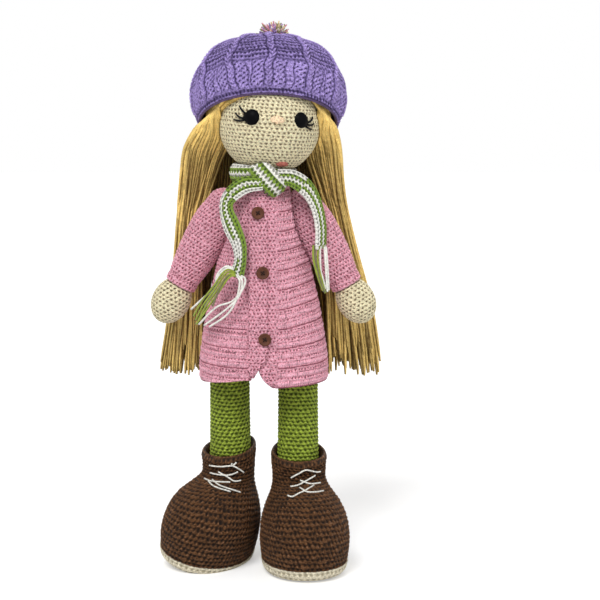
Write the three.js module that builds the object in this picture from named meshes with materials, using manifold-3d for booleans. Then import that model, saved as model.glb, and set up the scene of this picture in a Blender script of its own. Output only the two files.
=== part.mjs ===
// A crocheted doll in a coat, scarf, beret and boots, standing on z = 0.
// Millimetres, +Z up. The doll faces -Y and its own left side is +X.
import * as THREE from "three";
import { LoftGeometry } from "three/addons/geometries/LoftGeometry.js";
import { mergeVertices } from "three/addons/utils/BufferGeometryUtils.js";
import Module from "manifold-3d";

const wasm = await Module();
wasm.setup();

const degree = Math.PI / 180;

// Fit: the clearance between pieces that touch, how far a cut runs past its
// work, and how close two vertices count as one.
const seam = 0.4;
const overrun = 120;
const weld = 0.0005;

// Facets
const roundFacets = 20;
const limbFacets = 16;
const smallFacets = 10;
const cordFacets = 5;
const domeSteps = 3;

// Half the angle of the small flat that closes a ball or a dome.
const crownAngle = 10 * degree;

// Legs and the swing at the hips
const hipHeight = 165;
const hipHalfSpacing = 26.5;
const legRadius = 15;
const ankleRadius = 15.8;
const legEndHeight = 36;
const toeRoom = 12;
const strideAngle = 4.6 * degree;

// Boots
const toeReach = 66;
const heelReach = 25;
const bootHalfWidth = 33.5;
const rimHeight = 92;
const soleDepth = 9.5;
const insoleThickness = 1.6;
const insoleMargin = 5;
const bootMouthGap = 2;
const bootMouthDepth = 9;
const toeOutRight = 35 * degree;
const toeOutLeft = 11 * degree;
const footRollRight = 14 * degree;
const footRollLeft = 0 * degree;
const laceRadius = 0.7;
const laceLift = 1.8;

// Torso and neck
const torsoLength = 123;
const torsoHalfWidth = 37;
const torsoFront = 34;
const torsoBack = 32;
const dowelRadius = 3;
const dowelLength = 72;
const dowelInHead = 30;

// Head and face
const headRadius = 38;
const headHalfHeight = 37;
const neckHoleAngle = 18.5 * degree;
const headSide = 5;
const headForward = 1;
const faceTurn = 9.3 * degree;
const faceRoll = 3.9 * degree;
const eyeSpread = 29.5 * degree;
const eyeLift = 9 * degree;
const eyeRadius = 6;
const eyeHeight = 4;
const eyePostRadius = 1.6;
const eyePostLength = 12;
const washerRadius = 4.6;
const washerThickness = 1.4;
const washerDepth = 7;
const lashLength = 7;
const lashWidth = 1.3;
const lashThickness = 0.8;
const lashFanShare = 0.85;
const lashTipShare = 0.5;
const noseHalfWidth = 4;
const noseHalfHeight = 2.4;
const noseHeight = 1.9;
const noseLift = 8 * degree;
const mouthHalfWidth = 5.5;
const mouthHalfHeight = 2.6;
const mouthHeight = 1;
const mouthDrop = 47 * degree;
const mouthTurn = 14 * degree;

// Hair
const hairCapThickness = 3;
const hairLength = 222;
const hairTop = 27;
const hairHalfWidth = 82;
const hairDepth = 46;
const hairThickness = 8.5;
const hairParting = 38 * degree;
const hairPartingGap = 0.6 * degree;
const hairlineForward = 26;
const hairlineHeight = 28;
const hairlineSlope = 22 * degree;
const hairWaves = 18;
const hairWaveStartShare = 0.33;
const hairWaveHeight = 0.9;

// Beret
const beretHalfWidth = 57.5;
const beretFront = 50.5;
const beretBack = 60;
const beretHeight = 61;
const beretThickness = 3;
const beretRimHeight = 1.5;
const beretTilt = 32 * degree;
const beretSideShift = 1;
const beretBackShift = 6;
const beretRibs = 12;
const beretRibHeight = 0.7;
const edgingRadius = 1.4;
const pompomRadius = 10.5;
const pompomSide = 4;
const pompomHalfHeight = 8.5;

// Coat
const hemDrop = 21;
const coatHalfWidth = 49.5;
const coatFront = 45;
const coatBack = 42;
const coatThickness = 3;
const skirtLength = 44;
const necklineDrop = 6.6;
const bandThickness = 2;
const bandLapRight = 9.3;
const bandLapLeft = 10.2;
const bandEdge = 3.5;
const slitHeight = 22;
const rightHemRise = 5;

// Buttons
const buttonRadius = 4.9;
const buttonThickness = 2.4;
const buttonRim = 1.3;
const buttonDish = 0.9;
const buttonHoleRadius = 0.8;
const buttonHoleSpacing = 1.5;
const buttonHeightShares = [0.853, 0.565, 0.245];
const buttonSideShares = [-0.36, 0.03, 0.19];

// Arms and sleeves, along the arm from the shoulder
const shoulderHalfWidth = 30;
const shoulderDrop = 26.6;
const armSplay = 29.5 * degree;
const sleeveLength = 63;
const sleeveRadius = 16.4;
const sleeveThickness = 2.8;
const cuffLength = 6;
const cuffThickness = 3.2;
const handRadius = 14.4;
const handHalfLength = 18.5;
const wristRadius = 8.4;

// Scarf
const scarfWidth = 14;
const scarfThickness = 3;
const wrapRadius = 20.5;
const wrapHalfThickness = 4.8;
const wrapHalfHeight = 7.5;
const wrapLift = 6;
const knotHalfWidth = 13.5;
const knotHalfHeight = 8.5;
const knotHalfThickness = 4;
const knotSide = 4;
const knotSlant = 48 * degree;
const knotLift = 5.5;
const fringeRadius = 1;
const fringeKnotRadius = 1.6;
const fringeSag = 3;
const fringeStrands = 5;

const colours = {
  skin: 0xe6cfa8,
  black: 0x101012,
  washer: 0xe8e6df,
  mouth: 0xc9675f,
  hair: 0xbd9c66,
  purple: 0x8a6cba,
  edging: 0x6f5a80,
  pompom: 0xc9a2b4,
  pink: 0xdb8a9c,
  brown: 0x54361f,
  button: 0x4a2a1e,
  green: 0x7c9632,
  scarf: 0x9fb56c,
  white: 0xf2f0ea,
  cream: 0xe2dcc4,
  wood: 0xc9a777,
  board: 0xb9a27c,
};

function finish(colour, roughness = 0.9) {
  return new THREE.MeshStandardMaterial({ color: colour, roughness, metalness: 0 });
}

const yarn = {
  skin: finish(colours.skin),
  mouth: finish(colours.mouth),
  thread: finish(colours.black, 0.7),
  hair: finish(colours.hair),
  beret: finish(colours.purple),
  edging: finish(colours.edging),
  pompom: finish(colours.pompom),
  coat: finish(colours.pink),
  boot: finish(colours.brown),
  sole: finish(colours.cream),
  leg: finish(colours.green),
  scarf: finish(colours.scarf),
  white: finish(colours.white),
};
const eyeGloss = finish(colours.black, 0.15);
const washerPlastic = finish(colours.washer, 0.5);
const buttonWood = finish(colours.button, 0.5);
const dowelWood = finish(colours.wood, 0.7);
const insoleBoard = finish(colours.board, 0.8);

// A geometry as a solid with its faces pointing out.
function solidOf(geometry) {
  const bare = new THREE.BufferGeometry();
  bare.setAttribute("position", geometry.getAttribute("position"));
  bare.setIndex(geometry.index);
  const merged = mergeVertices(bare, weld);
  const vertProperties = merged.attributes.position.array;
  const triVerts = new Uint32Array(merged.index.array);
  const made = new wasm.Manifold(new wasm.Mesh({ numProp: 3, vertProperties, triVerts }));
  if (made.volume() > 0) return made;
  triVerts.reverse();
  return new wasm.Manifold(new wasm.Mesh({ numProp: 3, vertProperties, triVerts }));
}

function geometryOf(solid) {
  const mesh = solid.getMesh();
  const geometry = new THREE.BufferGeometry();
  geometry.setAttribute("position", new THREE.BufferAttribute(mesh.vertProperties, 3));
  geometry.setIndex(new THREE.BufferAttribute(mesh.triVerts, 1));
  geometry.computeVertexNormals();
  return geometry;
}

function addPiece(parent, name, material, solid) {
  const mesh = new THREE.Mesh(geometryOf(solid), material);
  mesh.name = name;
  parent.add(mesh);
  return mesh;
}

// The same solid seen from another frame.
function movedSolid(geometry, matrix) {
  return solidOf(geometry).transform(matrix.elements);
}

// Rows of numbers blended smoothly into count + 1 rows.
function blended(rows, count) {
  const places = rows.map((row, i) => i / (rows.length - 1));
  const curve = new THREE.CubicInterpolant(places, rows.flat(), rows[0].length);
  return Array.from({ length: count + 1 }, (unused, i) => Array.from(curve.evaluate(i / count)));
}

// One row of numbers at a place along the rows, from 0 to 1.
function blendedAt(rows, place) {
  const places = rows.map((row, i) => i / (rows.length - 1));
  const curve = new THREE.CubicInterpolant(places, rows.flat(), rows[0].length);
  return Array.from(curve.evaluate(THREE.MathUtils.clamp(place, 0, 1)));
}

// An oval ring round (x, y, z): half its width across, its own reach in front
// and behind, and its front tilted up.
function ovalRing({ x = 0, y = 0, z, width, front, back, tilt = 0, facets = roundFacets }) {
  return Array.from({ length: facets }, (unused, i) => {
    const angle = (2 * Math.PI * i) / facets;
    const forward = Math.cos(angle) > 0 ? front : back;
    const reach = forward * Math.cos(angle);
    return new THREE.Vector3(
      x + width * Math.sin(angle),
      y - reach * Math.cos(tilt),
      z + reach * Math.sin(tilt),
    );
  });
}

function middleOf(section) {
  const sum = section.reduce((total, point) => total.add(point), new THREE.Vector3());
  return sum.divideScalar(section.length);
}

// A closed loft. Each section must turn counterclockwise seen from the loft's
// end, so a list that turns the other way is reversed.
function capped(sections) {
  const first = sections[0];
  const middle = middleOf(first);
  const ahead = middleOf(sections.map(middleOf)).sub(middle);
  const normal = new THREE.Vector3();
  first.forEach((point, i) => {
    const arm = point.clone().sub(middle);
    const following = first[(i + 1) % first.length].clone().sub(middle);
    normal.add(arm.cross(following));
  });
  const turned = normal.dot(ahead) < 0;
  const ordered = turned ? sections.map((section) => [...section].reverse()) : sections;
  return new LoftGeometry(ordered, { capStart: true, capEnd: true });
}

// A stuffed form from rows of [rise, width, front, back] shares.
function stuffedForm(rows, stacks, size, extra = 0, facets = roundFacets) {
  const rings = blended(rows, stacks).map(([rise, width, front, back]) =>
    ovalRing({
      z: size.base + rise * size.length,
      width: width * size.width + extra,
      front: front * size.front + extra,
      back: back * size.back + extra,
      facets,
    }),
  );
  return capped(rings);
}

// A limb pointing down from its joint: rows of [distance, radius].
function limbForm(rows, extra = 0, facets = limbFacets) {
  const rings = rows.map(([distance, radius]) =>
    ovalRing({
      z: -distance,
      width: radius + extra,
      front: radius + extra,
      back: radius + extra,
      facets,
    }),
  );
  return capped(rings);
}

// Rows of the dome that closes a limb's top round its joint, from its crown.
function domeRows(radius) {
  return Array.from({ length: domeSteps }, (unused, i) => {
    const angle = crownAngle + ((Math.PI / 2 - crownAngle) * i) / domeSteps;
    return [-radius * Math.cos(angle), radius * Math.sin(angle)];
  });
}

// A ball squashed along Z, from rings at even angles; the angles at its two
// ends leave small flats.
function ballForm(radius, halfHeight, lowAngle, highAngle, stacks, facets = roundFacets) {
  const rings = Array.from({ length: stacks + 1 }, (unused, i) => {
    const angle = lowAngle + ((Math.PI - highAngle - lowAngle) * i) / stacks;
    const reach = radius * Math.sin(angle);
    return ovalRing({
      z: -halfHeight * Math.cos(angle),
      width: reach,
      front: reach,
      back: reach,
      facets,
    });
  });
  return capped(rings);
}

// A cutter that fills everything below a height.
function belowCutter(height) {
  const block = new THREE.BoxGeometry(2 * overrun, 2 * overrun, overrun);
  block.translate(0, 0, height - overrun / 2);
  return block;
}

// A tube of round section along a curve.
function cordForm(points, radius, steps, facets = cordFacets) {
  const section = new THREE.Shape(
    Array.from({ length: facets }, (unused, i) => {
      const angle = (2 * Math.PI * i) / facets;
      return new THREE.Vector2(radius * Math.cos(angle), radius * Math.sin(angle));
    }),
  );
  const path = new THREE.CatmullRomCurve3(points, false, "centripetal");
  return new THREE.ExtrudeGeometry(section, { extrudePath: path, steps, curveSegments: 1 });
}

const doll = new THREE.Group();
const torsoGroup = new THREE.Group();
doll.add(torsoGroup);

// Torso: widest at the belly, drawn in to the neck, in shares of its length
// and its three reaches.
const torsoBase = hipHeight + legRadius * Math.cos(crownAngle) + 2 * seam;
const torsoTop = torsoBase + torsoLength;
const shoulderHeight = torsoTop - shoulderDrop;
const torsoShares = [
  [0, 0.66, 0.68, 0.68],
  [0.035, 0.92, 0.9, 0.9],
  [0.11, 1, 1, 1],
  [0.24, 0.965, 0.97, 0.95],
  [0.39, 0.87, 0.9, 0.87],
  [0.53, 0.79, 0.85, 0.83],
  [0.67, 0.745, 0.8, 0.78],
  [0.77, 0.69, 0.75, 0.74],
  [0.85, 0.575, 0.64, 0.65],
  [0.905, 0.42, 0.5, 0.5],
  [0.945, 0.33, 0.36, 0.38],
  [1, 0.32, 0.35, 0.37],
];
const torsoSize = {
  base: torsoBase,
  length: torsoLength,
  width: torsoHalfWidth,
  front: torsoFront,
  back: torsoBack,
};
const torsoStacks = 11;
const torsoForm = stuffedForm(torsoShares, torsoStacks, torsoSize, 0, limbFacets);
const torsoClearance = stuffedForm(torsoShares, torsoStacks, torsoSize, seam, limbFacets);

// Head, standing on the neck
const headHeight = torsoTop + seam + headHalfHeight * Math.cos(neckHoleAngle);
const headPlace = new THREE.Vector3(headSide, -headForward, headHeight);
const headStacks = 12;
const headForm = ballForm(headRadius, headHalfHeight, neckHoleAngle, crownAngle, headStacks);
const headGroup = new THREE.Group();
headGroup.position.copy(headPlace);
doll.add(headGroup);
const headMatrix = new THREE.Matrix4().makeTranslation(headPlace);
const headClearance = ballForm(
  headRadius + seam,
  headHalfHeight + seam,
  neckHoleAngle,
  crownAngle,
  headStacks,
);

// Neck dowel: a round stick from the chest up into the head, on the axis that
// the head turns about.
const dowelTop = headHeight - headHalfHeight + dowelInHead;
const dowelFacets = 12;
const dowelForm = new THREE.CylinderGeometry(dowelRadius, dowelRadius, dowelLength, dowelFacets);
dowelForm.rotateX(Math.PI / 2);
dowelForm.translate(headSide, -headForward, dowelTop - dowelLength / 2);
const dowelBore = new THREE.CylinderGeometry(
  dowelRadius + seam,
  dowelRadius + seam,
  dowelLength + 2 * seam,
  dowelFacets,
);
dowelBore.rotateX(Math.PI / 2);
dowelBore.translate(headSide, -headForward, dowelTop - dowelLength / 2);

// Sleeve and arm profiles, in shares of the sleeve's length and radius
const sleeveShares = [
  [0, 0.84],
  [0.25, 1],
  [0.6, 0.96],
  [0.88, 0.82],
  [1, 0.73],
];
const sleeveStacks = 4;
const sleeveRows = blended(sleeveShares, sleeveStacks).map(([along, swell]) => [
  along * sleeveLength,
  swell * sleeveRadius,
]);
const shoulderRadius = sleeveRows[0][1];

function sleeveOuter(extra = 0) {
  return limbForm([...domeRows(shoulderRadius), ...sleeveRows], extra);
}

const armRows = sleeveRows.map(([distance, radius]) => [
  distance,
  radius - sleeveThickness - seam,
]);
const handCentre = sleeveLength + cuffLength + handHalfLength - wristRadius / 2;
const handSteps = 5;
const wristAngle = Math.asin(wristRadius / handRadius);
const handRows = Array.from({ length: handSteps + 1 }, (unused, i) => {
  const angle = wristAngle + ((Math.PI - wristAngle - crownAngle) * i) / handSteps;
  return [handCentre - handHalfLength * Math.cos(angle), handRadius * Math.sin(angle)];
});

// The room that an arm sweeps when it swings about X, as a turned cutter seen
// from the torso: a dish round the shoulder that widens outwards.
function armSweep(rows, side) {
  const across = Math.cos(armSplay);
  const along = Math.sin(armSplay);
  const start = rows[0][1];
  const arcSteps = 3;
  const outline = [];
  for (let i = 0; i <= arcSteps; i++) {
    const angle = (armSplay * i) / arcSteps;
    outline.push(new THREE.Vector2(start * Math.sin(angle), -start * Math.cos(angle)));
  }
  for (const [distance, radius] of rows) {
    outline.push(
      new THREE.Vector2(
        distance * across + radius * along,
        distance * along - radius * across,
      ),
    );
  }
  const far = outline[outline.length - 1];
  outline.push(new THREE.Vector2(far.x, overrun));
  outline.push(new THREE.Vector2(0, overrun));
  const swept = new THREE.LatheGeometry(outline, limbFacets);
  swept.rotateZ(-Math.PI / 2);
  swept.translate(shoulderHalfWidth, 0, shoulderHeight);
  swept.scale(side, 1, 1);
  return swept;
}

const grown = ([distance, radius]) => [distance, radius + seam];
const sleeveRoom = [1, -1].map((side) => solidOf(armSweep(sleeveRows.map(grown), side)));

let torso = solidOf(torsoForm).subtract(solidOf(dowelBore));
for (const room of sleeveRoom) torso = torso.subtract(room);
addPiece(torsoGroup, "torso", yarn.skin, torso);
addPiece(torsoGroup, "neck_dowel", dowelWood, solidOf(dowelForm));

// Coat, in shares of the height from hem to neckline and of its three reaches
const hemHeight = hipHeight - hemDrop;
const skirtTop = hemHeight + skirtLength;
const necklineHeight = torsoTop - necklineDrop;
const coatLength = necklineHeight - hemHeight;
const coatShares = [
  [0, 1, 1, 1],
  [0.1, 0.995, 1, 0.98],
  [0.235, 0.94, 0.965, 0.93],
  [0.385, 0.86, 0.89, 0.86],
  [0.53, 0.757, 0.81, 0.79],
  [0.647, 0.69, 0.755, 0.75],
  [0.77, 0.64, 0.705, 0.71],
  [0.863, 0.59, 0.65, 0.66],
  [0.928, 0.5, 0.575, 0.59],
  [0.967, 0.395, 0.475, 0.49],
  [1, 0.33, 0.37, 0.4],
];
const coatStacks = 12;
const coatSize = {
  base: hemHeight,
  length: coatLength,
  width: coatHalfWidth,
  front: coatFront,
  back: coatBack,
};

// The coat's outline at a height: its half width and its front reach.
const coatRows = blended(coatShares, coatStacks);
const flattestShare = 0.95;
function coatAt(height) {
  const rise = THREE.MathUtils.clamp((height - hemHeight) / coatLength, 0, 1);
  const above = Math.max(1, coatRows.findIndex((row) => row[0] >= rise));
  const [low, high] = [coatRows[above - 1], coatRows[above]];
  const share = (rise - low[0]) / (high[0] - low[0]);
  const [width, front] = [1, 2].map((i) => THREE.MathUtils.lerp(low[i], high[i], share));
  return { width: width * coatHalfWidth, front: front * coatFront };
}

// A point in front of the coat, at a side place and a height, lifted off it.
function coatFrontPoint(side, height, lift) {
  const { width, front } = coatAt(height);
  const reach = Math.min(Math.abs(side) / width, flattestShare);
  return new THREE.Vector3(side, -(front + lift) * Math.sqrt(1 - reach * reach), height);
}

const coatOuter = solidOf(stuffedForm(coatShares, coatStacks, coatSize));
const coatLining = solidOf(stuffedForm(coatShares, coatStacks, coatSize, -coatThickness));
const coatRoom = solidOf(stuffedForm(coatShares, coatStacks, coatSize, bandThickness + seam));

// A box between two corners.
function boxBetween(low, high) {
  const block = new THREE.BoxGeometry(high[0] - low[0], high[1] - low[1], high[2] - low[2]);
  block.translate((low[0] + high[0]) / 2, (low[1] + high[1]) / 2, (low[2] + high[2]) / 2);
  return solidOf(block);
}

const lapGap = boxBetween(
  [-bandLapRight - seam, -overrun, -seam],
  [bandLapLeft + seam, 0, necklineHeight + overrun],
);
const coatShell = coatOuter
  .subtract(coatLining)
  .subtract(boxBetween([-overrun, -overrun, 0], [overrun, overrun, hemHeight + seam / 2]))
  .subtract(lapGap);
const coatTorsoRoom = solidOf(torsoClearance);
let bodice = coatShell
  .subtract(coatTorsoRoom)
  .subtract(boxBetween([-overrun, -overrun, 0], [overrun, overrun, skirtTop + seam]))
  .subtract(boxBetween([-overrun, -overrun, necklineHeight - seam], [overrun, overrun, headHeight]));
for (const room of sleeveRoom) bodice = bodice.subtract(room);
addPiece(torsoGroup, "coat_bodice", yarn.coat, bodice);

const skirtShell = coatShell.intersect(
  boxBetween([-overrun, -overrun, 0], [overrun, overrun, skirtTop]),
);
// The right half's hem rises towards the front.
const hemRise = new THREE.BoxGeometry(2 * overrun, 2 * overrun, overrun);
hemRise.translate(0, -overrun, -overrun / 2);
hemRise.rotateX(-Math.atan(rightHemRise / coatFront));
hemRise.translate(0, 0, hemHeight + seam);
const bodySides = { left: 1, right: -1 };
for (const [side, sign] of Object.entries(bodySides)) {
  const half = boxBetween(
    [sign > 0 ? seam / 2 : -overrun, -overrun, 0],
    [sign > 0 ? overrun : -seam / 2, overrun, overrun + hemHeight],
  );
  let skirt = skirtShell.intersect(half);
  if (side === "right") skirt = skirt.subtract(solidOf(hemRise));
  addPiece(torsoGroup, `coat_skirt_${side}`, yarn.coat, skirt);
}

// A band laid on the coat's front between a left and a right edge, each given
// as a function of the height.
function bandSolid({ low, high, fromEdge, toEdge, inside, thickness }) {
  const stacks = 14;
  const across = 4;
  const sections = Array.from({ length: stacks + 1 }, (unused, i) => {
    const height = low + ((high - low) * i) / stacks;
    const from = fromEdge(height);
    const to = toEdge(height);
    const outer = [];
    const inner = [];
    for (let j = 0; j <= across; j++) {
      const side = from + ((to - from) * j) / across;
      outer.push(coatFrontPoint(side, height, inside + thickness));
      inner.unshift(coatFrontPoint(side, height, inside));
    }
    return [...outer, ...inner];
  });
  return solidOf(capped(sections));
}

// Below the slit's top the two edges curve away from each other; the powers
// set how soon each one does.
const slitTop = hemHeight + slitHeight;
const slitOpenShare = 0.85;
const slitPowerShares = { over: 1.1, under: 0.6 };
const slitReach = (height, power) =>
  slitOpenShare * Math.max(0, (slitTop - height) / slitHeight) ** power;
const bandLow = hemHeight + seam;
const rightBandOutside = 0;
const leftBandInside = -bandThickness - seam;
const rightBand = bandSolid({
  low: bandLow + rightHemRise,
  high: necklineHeight - seam,
  fromEdge: () => -bandLapRight,
  toEdge: (height) =>
    bandEdge - (bandEdge + bandLapRight) * slitReach(height, slitPowerShares.over),
  inside: rightBandOutside,
  thickness: bandThickness,
});
const leftBand = bandSolid({
  low: bandLow,
  high: necklineHeight - seam,
  fromEdge: (height) =>
    (bandEdge + bandLapLeft) * slitReach(height, slitPowerShares.under) - bandEdge,
  toEdge: () => bandLapLeft,
  inside: leftBandInside,
  thickness: bandThickness,
});
addPiece(torsoGroup, "front_band_right", yarn.coat, rightBand.subtract(coatTorsoRoom));
addPiece(torsoGroup, "front_band_left", yarn.coat, leftBand.subtract(coatTorsoRoom));

// Buttons: a turned disc with a raised rim and four holes
const buttonNames = ["button_top", "button_middle", "button_bottom"];
const buttonFacets = 16;
const buttonHoles = 4;
function buttonSolid() {
  const outline = [
    [0, 0],
    [buttonRadius - buttonRim / 2, 0],
    [buttonRadius, buttonThickness / 2],
    [buttonRadius - buttonRim / 3, buttonThickness],
    [buttonRadius - buttonRim, buttonThickness],
    [buttonRadius - buttonRim - buttonDish / 2, buttonThickness - buttonDish],
    [0, buttonThickness - buttonDish],
  ].map(([reach, rise]) => new THREE.Vector2(reach, rise));
  let button = solidOf(new THREE.LatheGeometry(outline, buttonFacets));
  for (let i = 0; i < buttonHoles; i++) {
    const angle = (2 * Math.PI * (i + 1 / 2)) / buttonHoles;
    const hole = new THREE.CylinderGeometry(
      buttonHoleRadius,
      buttonHoleRadius,
      overrun,
      cordFacets,
    );
    hole.translate(buttonHoleSpacing * Math.cos(angle), 0, buttonHoleSpacing * Math.sin(angle));
    button = button.subtract(solidOf(hole));
  }
  return button;
}

buttonNames.forEach((name, i) => {
  const height = hemHeight + buttonHeightShares[i] * coatLength;
  const side = buttonSideShares[i] * bandLapRight;
  const step = buttonRadius;
  const lift = rightBandOutside + bandThickness;
  const up = coatFrontPoint(side, height + step, lift);
  const down = coatFrontPoint(side, height - step, lift);
  const slope = new THREE.Vector3().subVectors(up, down).normalize();
  const outward = new THREE.Vector3(0, -slope.z, slope.y);
  const button = addPiece(torsoGroup, name, buttonWood, buttonSolid());
  const seat = coatFrontPoint(side, height, lift);
  button.position.copy(seat).addScaledVector(outward, seam);
  button.quaternion.setFromUnitVectors(new THREE.Vector3(0, 1, 0), outward);
});

// Arms: each is a stuffed limb with a round hand, a sleeve and a cuff
const cuffOuterRadius = wristRadius + seam + cuffThickness;
const cuffStart = sleeveLength + seam;
const cuffEnd = cuffStart + cuffLength;
const armSolid = solidOf(
  limbForm([
    ...domeRows(armRows[0][1]),
    ...armRows.filter(([distance, radius]) => radius > wristRadius),
    [cuffStart, wristRadius],
    [cuffEnd, wristRadius],
    ...handRows.filter(([distance, radius]) => distance > cuffEnd + seam),
  ]),
);
const sleeveSolid = solidOf(sleeveOuter()).subtract(
  solidOf(
    limbForm([
      ...domeRows(armRows[0][1] + seam),
      ...armRows.map(grown),
      [sleeveLength + overrun, wristRadius],
    ]),
  ),
);
// The sleeve is open towards the torso, where the arm is sewn on.
const armholeShare = 0.6;
const armholeRadius = shoulderRadius * armholeShare;
const armhole = new THREE.CylinderGeometry(
  armholeRadius,
  armholeRadius,
  overrun,
  smallFacets,
);
armhole.rotateZ(Math.PI / 2);
armhole.translate(-overrun / 2, 0, 0);
armhole.rotateY(armSplay);
const cuffWall = [
  [wristRadius + seam, 0],
  [cuffOuterRadius, 0],
  [cuffOuterRadius, cuffLength],
  [wristRadius + seam, cuffLength],
  [wristRadius + seam, 0],
].map(([reach, rise]) => new THREE.Vector2(reach, rise));
const cuffForm = new THREE.LatheGeometry(cuffWall, limbFacets);
cuffForm.rotateX(-Math.PI / 2);
cuffForm.translate(0, 0, -cuffStart);

const armFrame = new THREE.Matrix4()
  .makeTranslation(shoulderHalfWidth, 0, shoulderHeight)
  .multiply(new THREE.Matrix4().makeRotationY(-armSplay));
const mirrored = new THREE.Matrix4().makeScale(-1, 1, 1);
const sleeveShadows = { left: armFrame, right: mirrored.clone().multiply(armFrame) };
const sleeveGuard = Object.values(sleeveShadows).map((frame) =>
  movedSolid(sleeveOuter(seam), frame),
);

for (const [side, sign] of Object.entries(bodySides)) {
  const half = new THREE.Group();
  half.scale.x = sign;
  const arm = new THREE.Group();
  arm.position.set(shoulderHalfWidth, 0, shoulderHeight);
  arm.rotation.y = -armSplay;
  half.add(arm);
  doll.add(half);
  addPiece(arm, `arm_${side}`, yarn.skin, armSolid);
  addPiece(arm, `sleeve_${side}`, yarn.coat, sleeveSolid.subtract(solidOf(armhole)));
  addPiece(arm, `cuff_${side}`, yarn.coat, solidOf(cuffForm));
}

// Boots: each round runs from a front line to a back line. Rows hold the
// front and back reach, their heights and the half width, in shares of the toe
// reach, the heel reach, the rim's height and the boot's half width.
const bootShares = [
  [0.8, 0, 0.72, 0, 0.76],
  [0.92, 0.04, 0.9, 0.035, 0.9],
  [0.975, 0.16, 0.98, 0.11, 0.965],
  [1, 0.315, 1, 0.22, 1],
  [0.93, 0.5, 0.96, 0.35, 0.965],
  [0.76, 0.635, 0.88, 0.475, 0.84],
  [0.53, 0.7, 0.81, 0.6, 0.68],
  [0.35, 0.735, 0.78, 0.72, 0.61],
  [0.315, 0.8, 0.8, 0.86, 0.615],
  [0.325, 0.855, 0.83, 1, 0.635],
];
const eggShare = 0.14;
const insoleShare = 0.16;
const rollHeight = bootHalfWidth;
const rollFade = rimHeight / 3;

function bootRow(place) {
  const [front, frontRise, back, backRise, width] = blendedAt(bootShares, place);
  return {
    front: new THREE.Vector3(0, -front * toeReach, frontRise * rimHeight),
    back: new THREE.Vector3(0, back * heelReach, backRise * rimHeight),
    width: width * bootHalfWidth,
  };
}

// The foot leans over its outer edge; the shaft stays upright.
function rolled(point, roll) {
  const fade = 1 - THREE.MathUtils.smoothstep(point.z, rollHeight, rollHeight + rollFade);
  const turn = roll * fade;
  const rise = point.z - rollHeight;
  const side = point.x * Math.cos(turn) - rise * Math.sin(turn);
  const height = rollHeight + point.x * Math.sin(turn) + rise * Math.cos(turn);
  return new THREE.Vector3(side, point.y, height);
}

function bootPoint(place, angle, roll, extra = 0) {
  const row = bootRow(place);
  const middle = row.front.clone().lerp(row.back, 1 / 2);
  const half = row.front.clone().sub(middle);
  const stretch = (half.length() + extra) / half.length();
  const across = (row.width + extra) * Math.sin(angle) * (1 + eggShare * Math.cos(angle));
  const point = middle.addScaledVector(half, Math.cos(angle) * stretch);
  point.x += across;
  return rolled(point, roll);
}

const bootStacks = 12;
function bootForm(roll) {
  const rings = Array.from({ length: bootStacks + 1 }, (unused, i) =>
    Array.from({ length: roundFacets }, (unusedToo, j) =>
      bootPoint(i / bootStacks, (2 * Math.PI * j) / roundFacets, roll),
    ),
  );
  return capped(rings);
}

// A flat slab of the foot between two heights, turned with the foot.
function footSlab(low, high, roll) {
  const slab = new THREE.BoxGeometry(2 * overrun, 2 * overrun, high - low);
  slab.translate(0, 0, (low + high) / 2 - rollHeight);
  slab.rotateY(-roll);
  slab.translate(0, 0, rollHeight);
  return solidOf(slab);
}

// The insole's outline is the boot's at the top of the sole, drawn in.
function insoleForm(roll, extra = 0) {
  const low = soleDepth + seam / 2 - 2 * extra;
  const high = soleDepth + seam / 2 + insoleThickness + extra;
  const rings = [low, high].map((height) =>
    Array.from({ length: roundFacets }, (unused, j) => {
      const angle = (2 * Math.PI * j) / roundFacets;
      const point = bootPoint(insoleShare, angle, 0, extra - insoleMargin);
      point.z = height;
      return rolled(point, roll);
    }),
  );
  return capped(rings);
}

// A shoelace crosses the front of the boot: rows of [place up the boot, angle]
const laceRouteShares = [
  [
    [0.66, -0.5],
    [0.705, 0],
    [0.75, 0.55],
    [0.8, 0],
    [0.85, -0.6],
    [0.9, 0],
    [0.94, 0.5],
  ],
  [
    [0.66, 0.5],
    [0.705, 0],
    [0.75, -0.55],
    [0.8, 0],
    [0.85, 0.6],
    [0.9, 0],
    [0.94, -0.5],
  ],
];
function laceSolid(roll) {
  const steps = 13;
  const strands = laceRouteShares.map((route) => {
    const points = blended(route, steps).map(([place, angle]) =>
      bootPoint(place, angle, roll, laceLift + laceRadius),
    );
    return solidOf(cordForm(points, laceRadius, steps));
  });
  return strands[0].add(strands[1]);
}

// Legs: a stuffed limb from the hip down into the boot
const legLength = (hipHeight - legEndHeight) / Math.cos(strideAngle);
const legShares = [
  [0, 0],
  [0.3, 0.3],
  [0.6, 0.8],
  [0.9, 1],
];
const footEndShares = [
  [0.97, 0.85],
  [1, 0.55],
];
const legStacks = 5;
const legRows = [
  ...domeRows(legRadius),
  ...blended(legShares, legStacks).map(([along, swell]) => [
    along * legLength,
    THREE.MathUtils.lerp(legRadius, ankleRadius, swell),
  ]),
  ...footEndShares.map(([along, swell]) => [along * legLength, swell * ankleRadius]),
];

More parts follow.
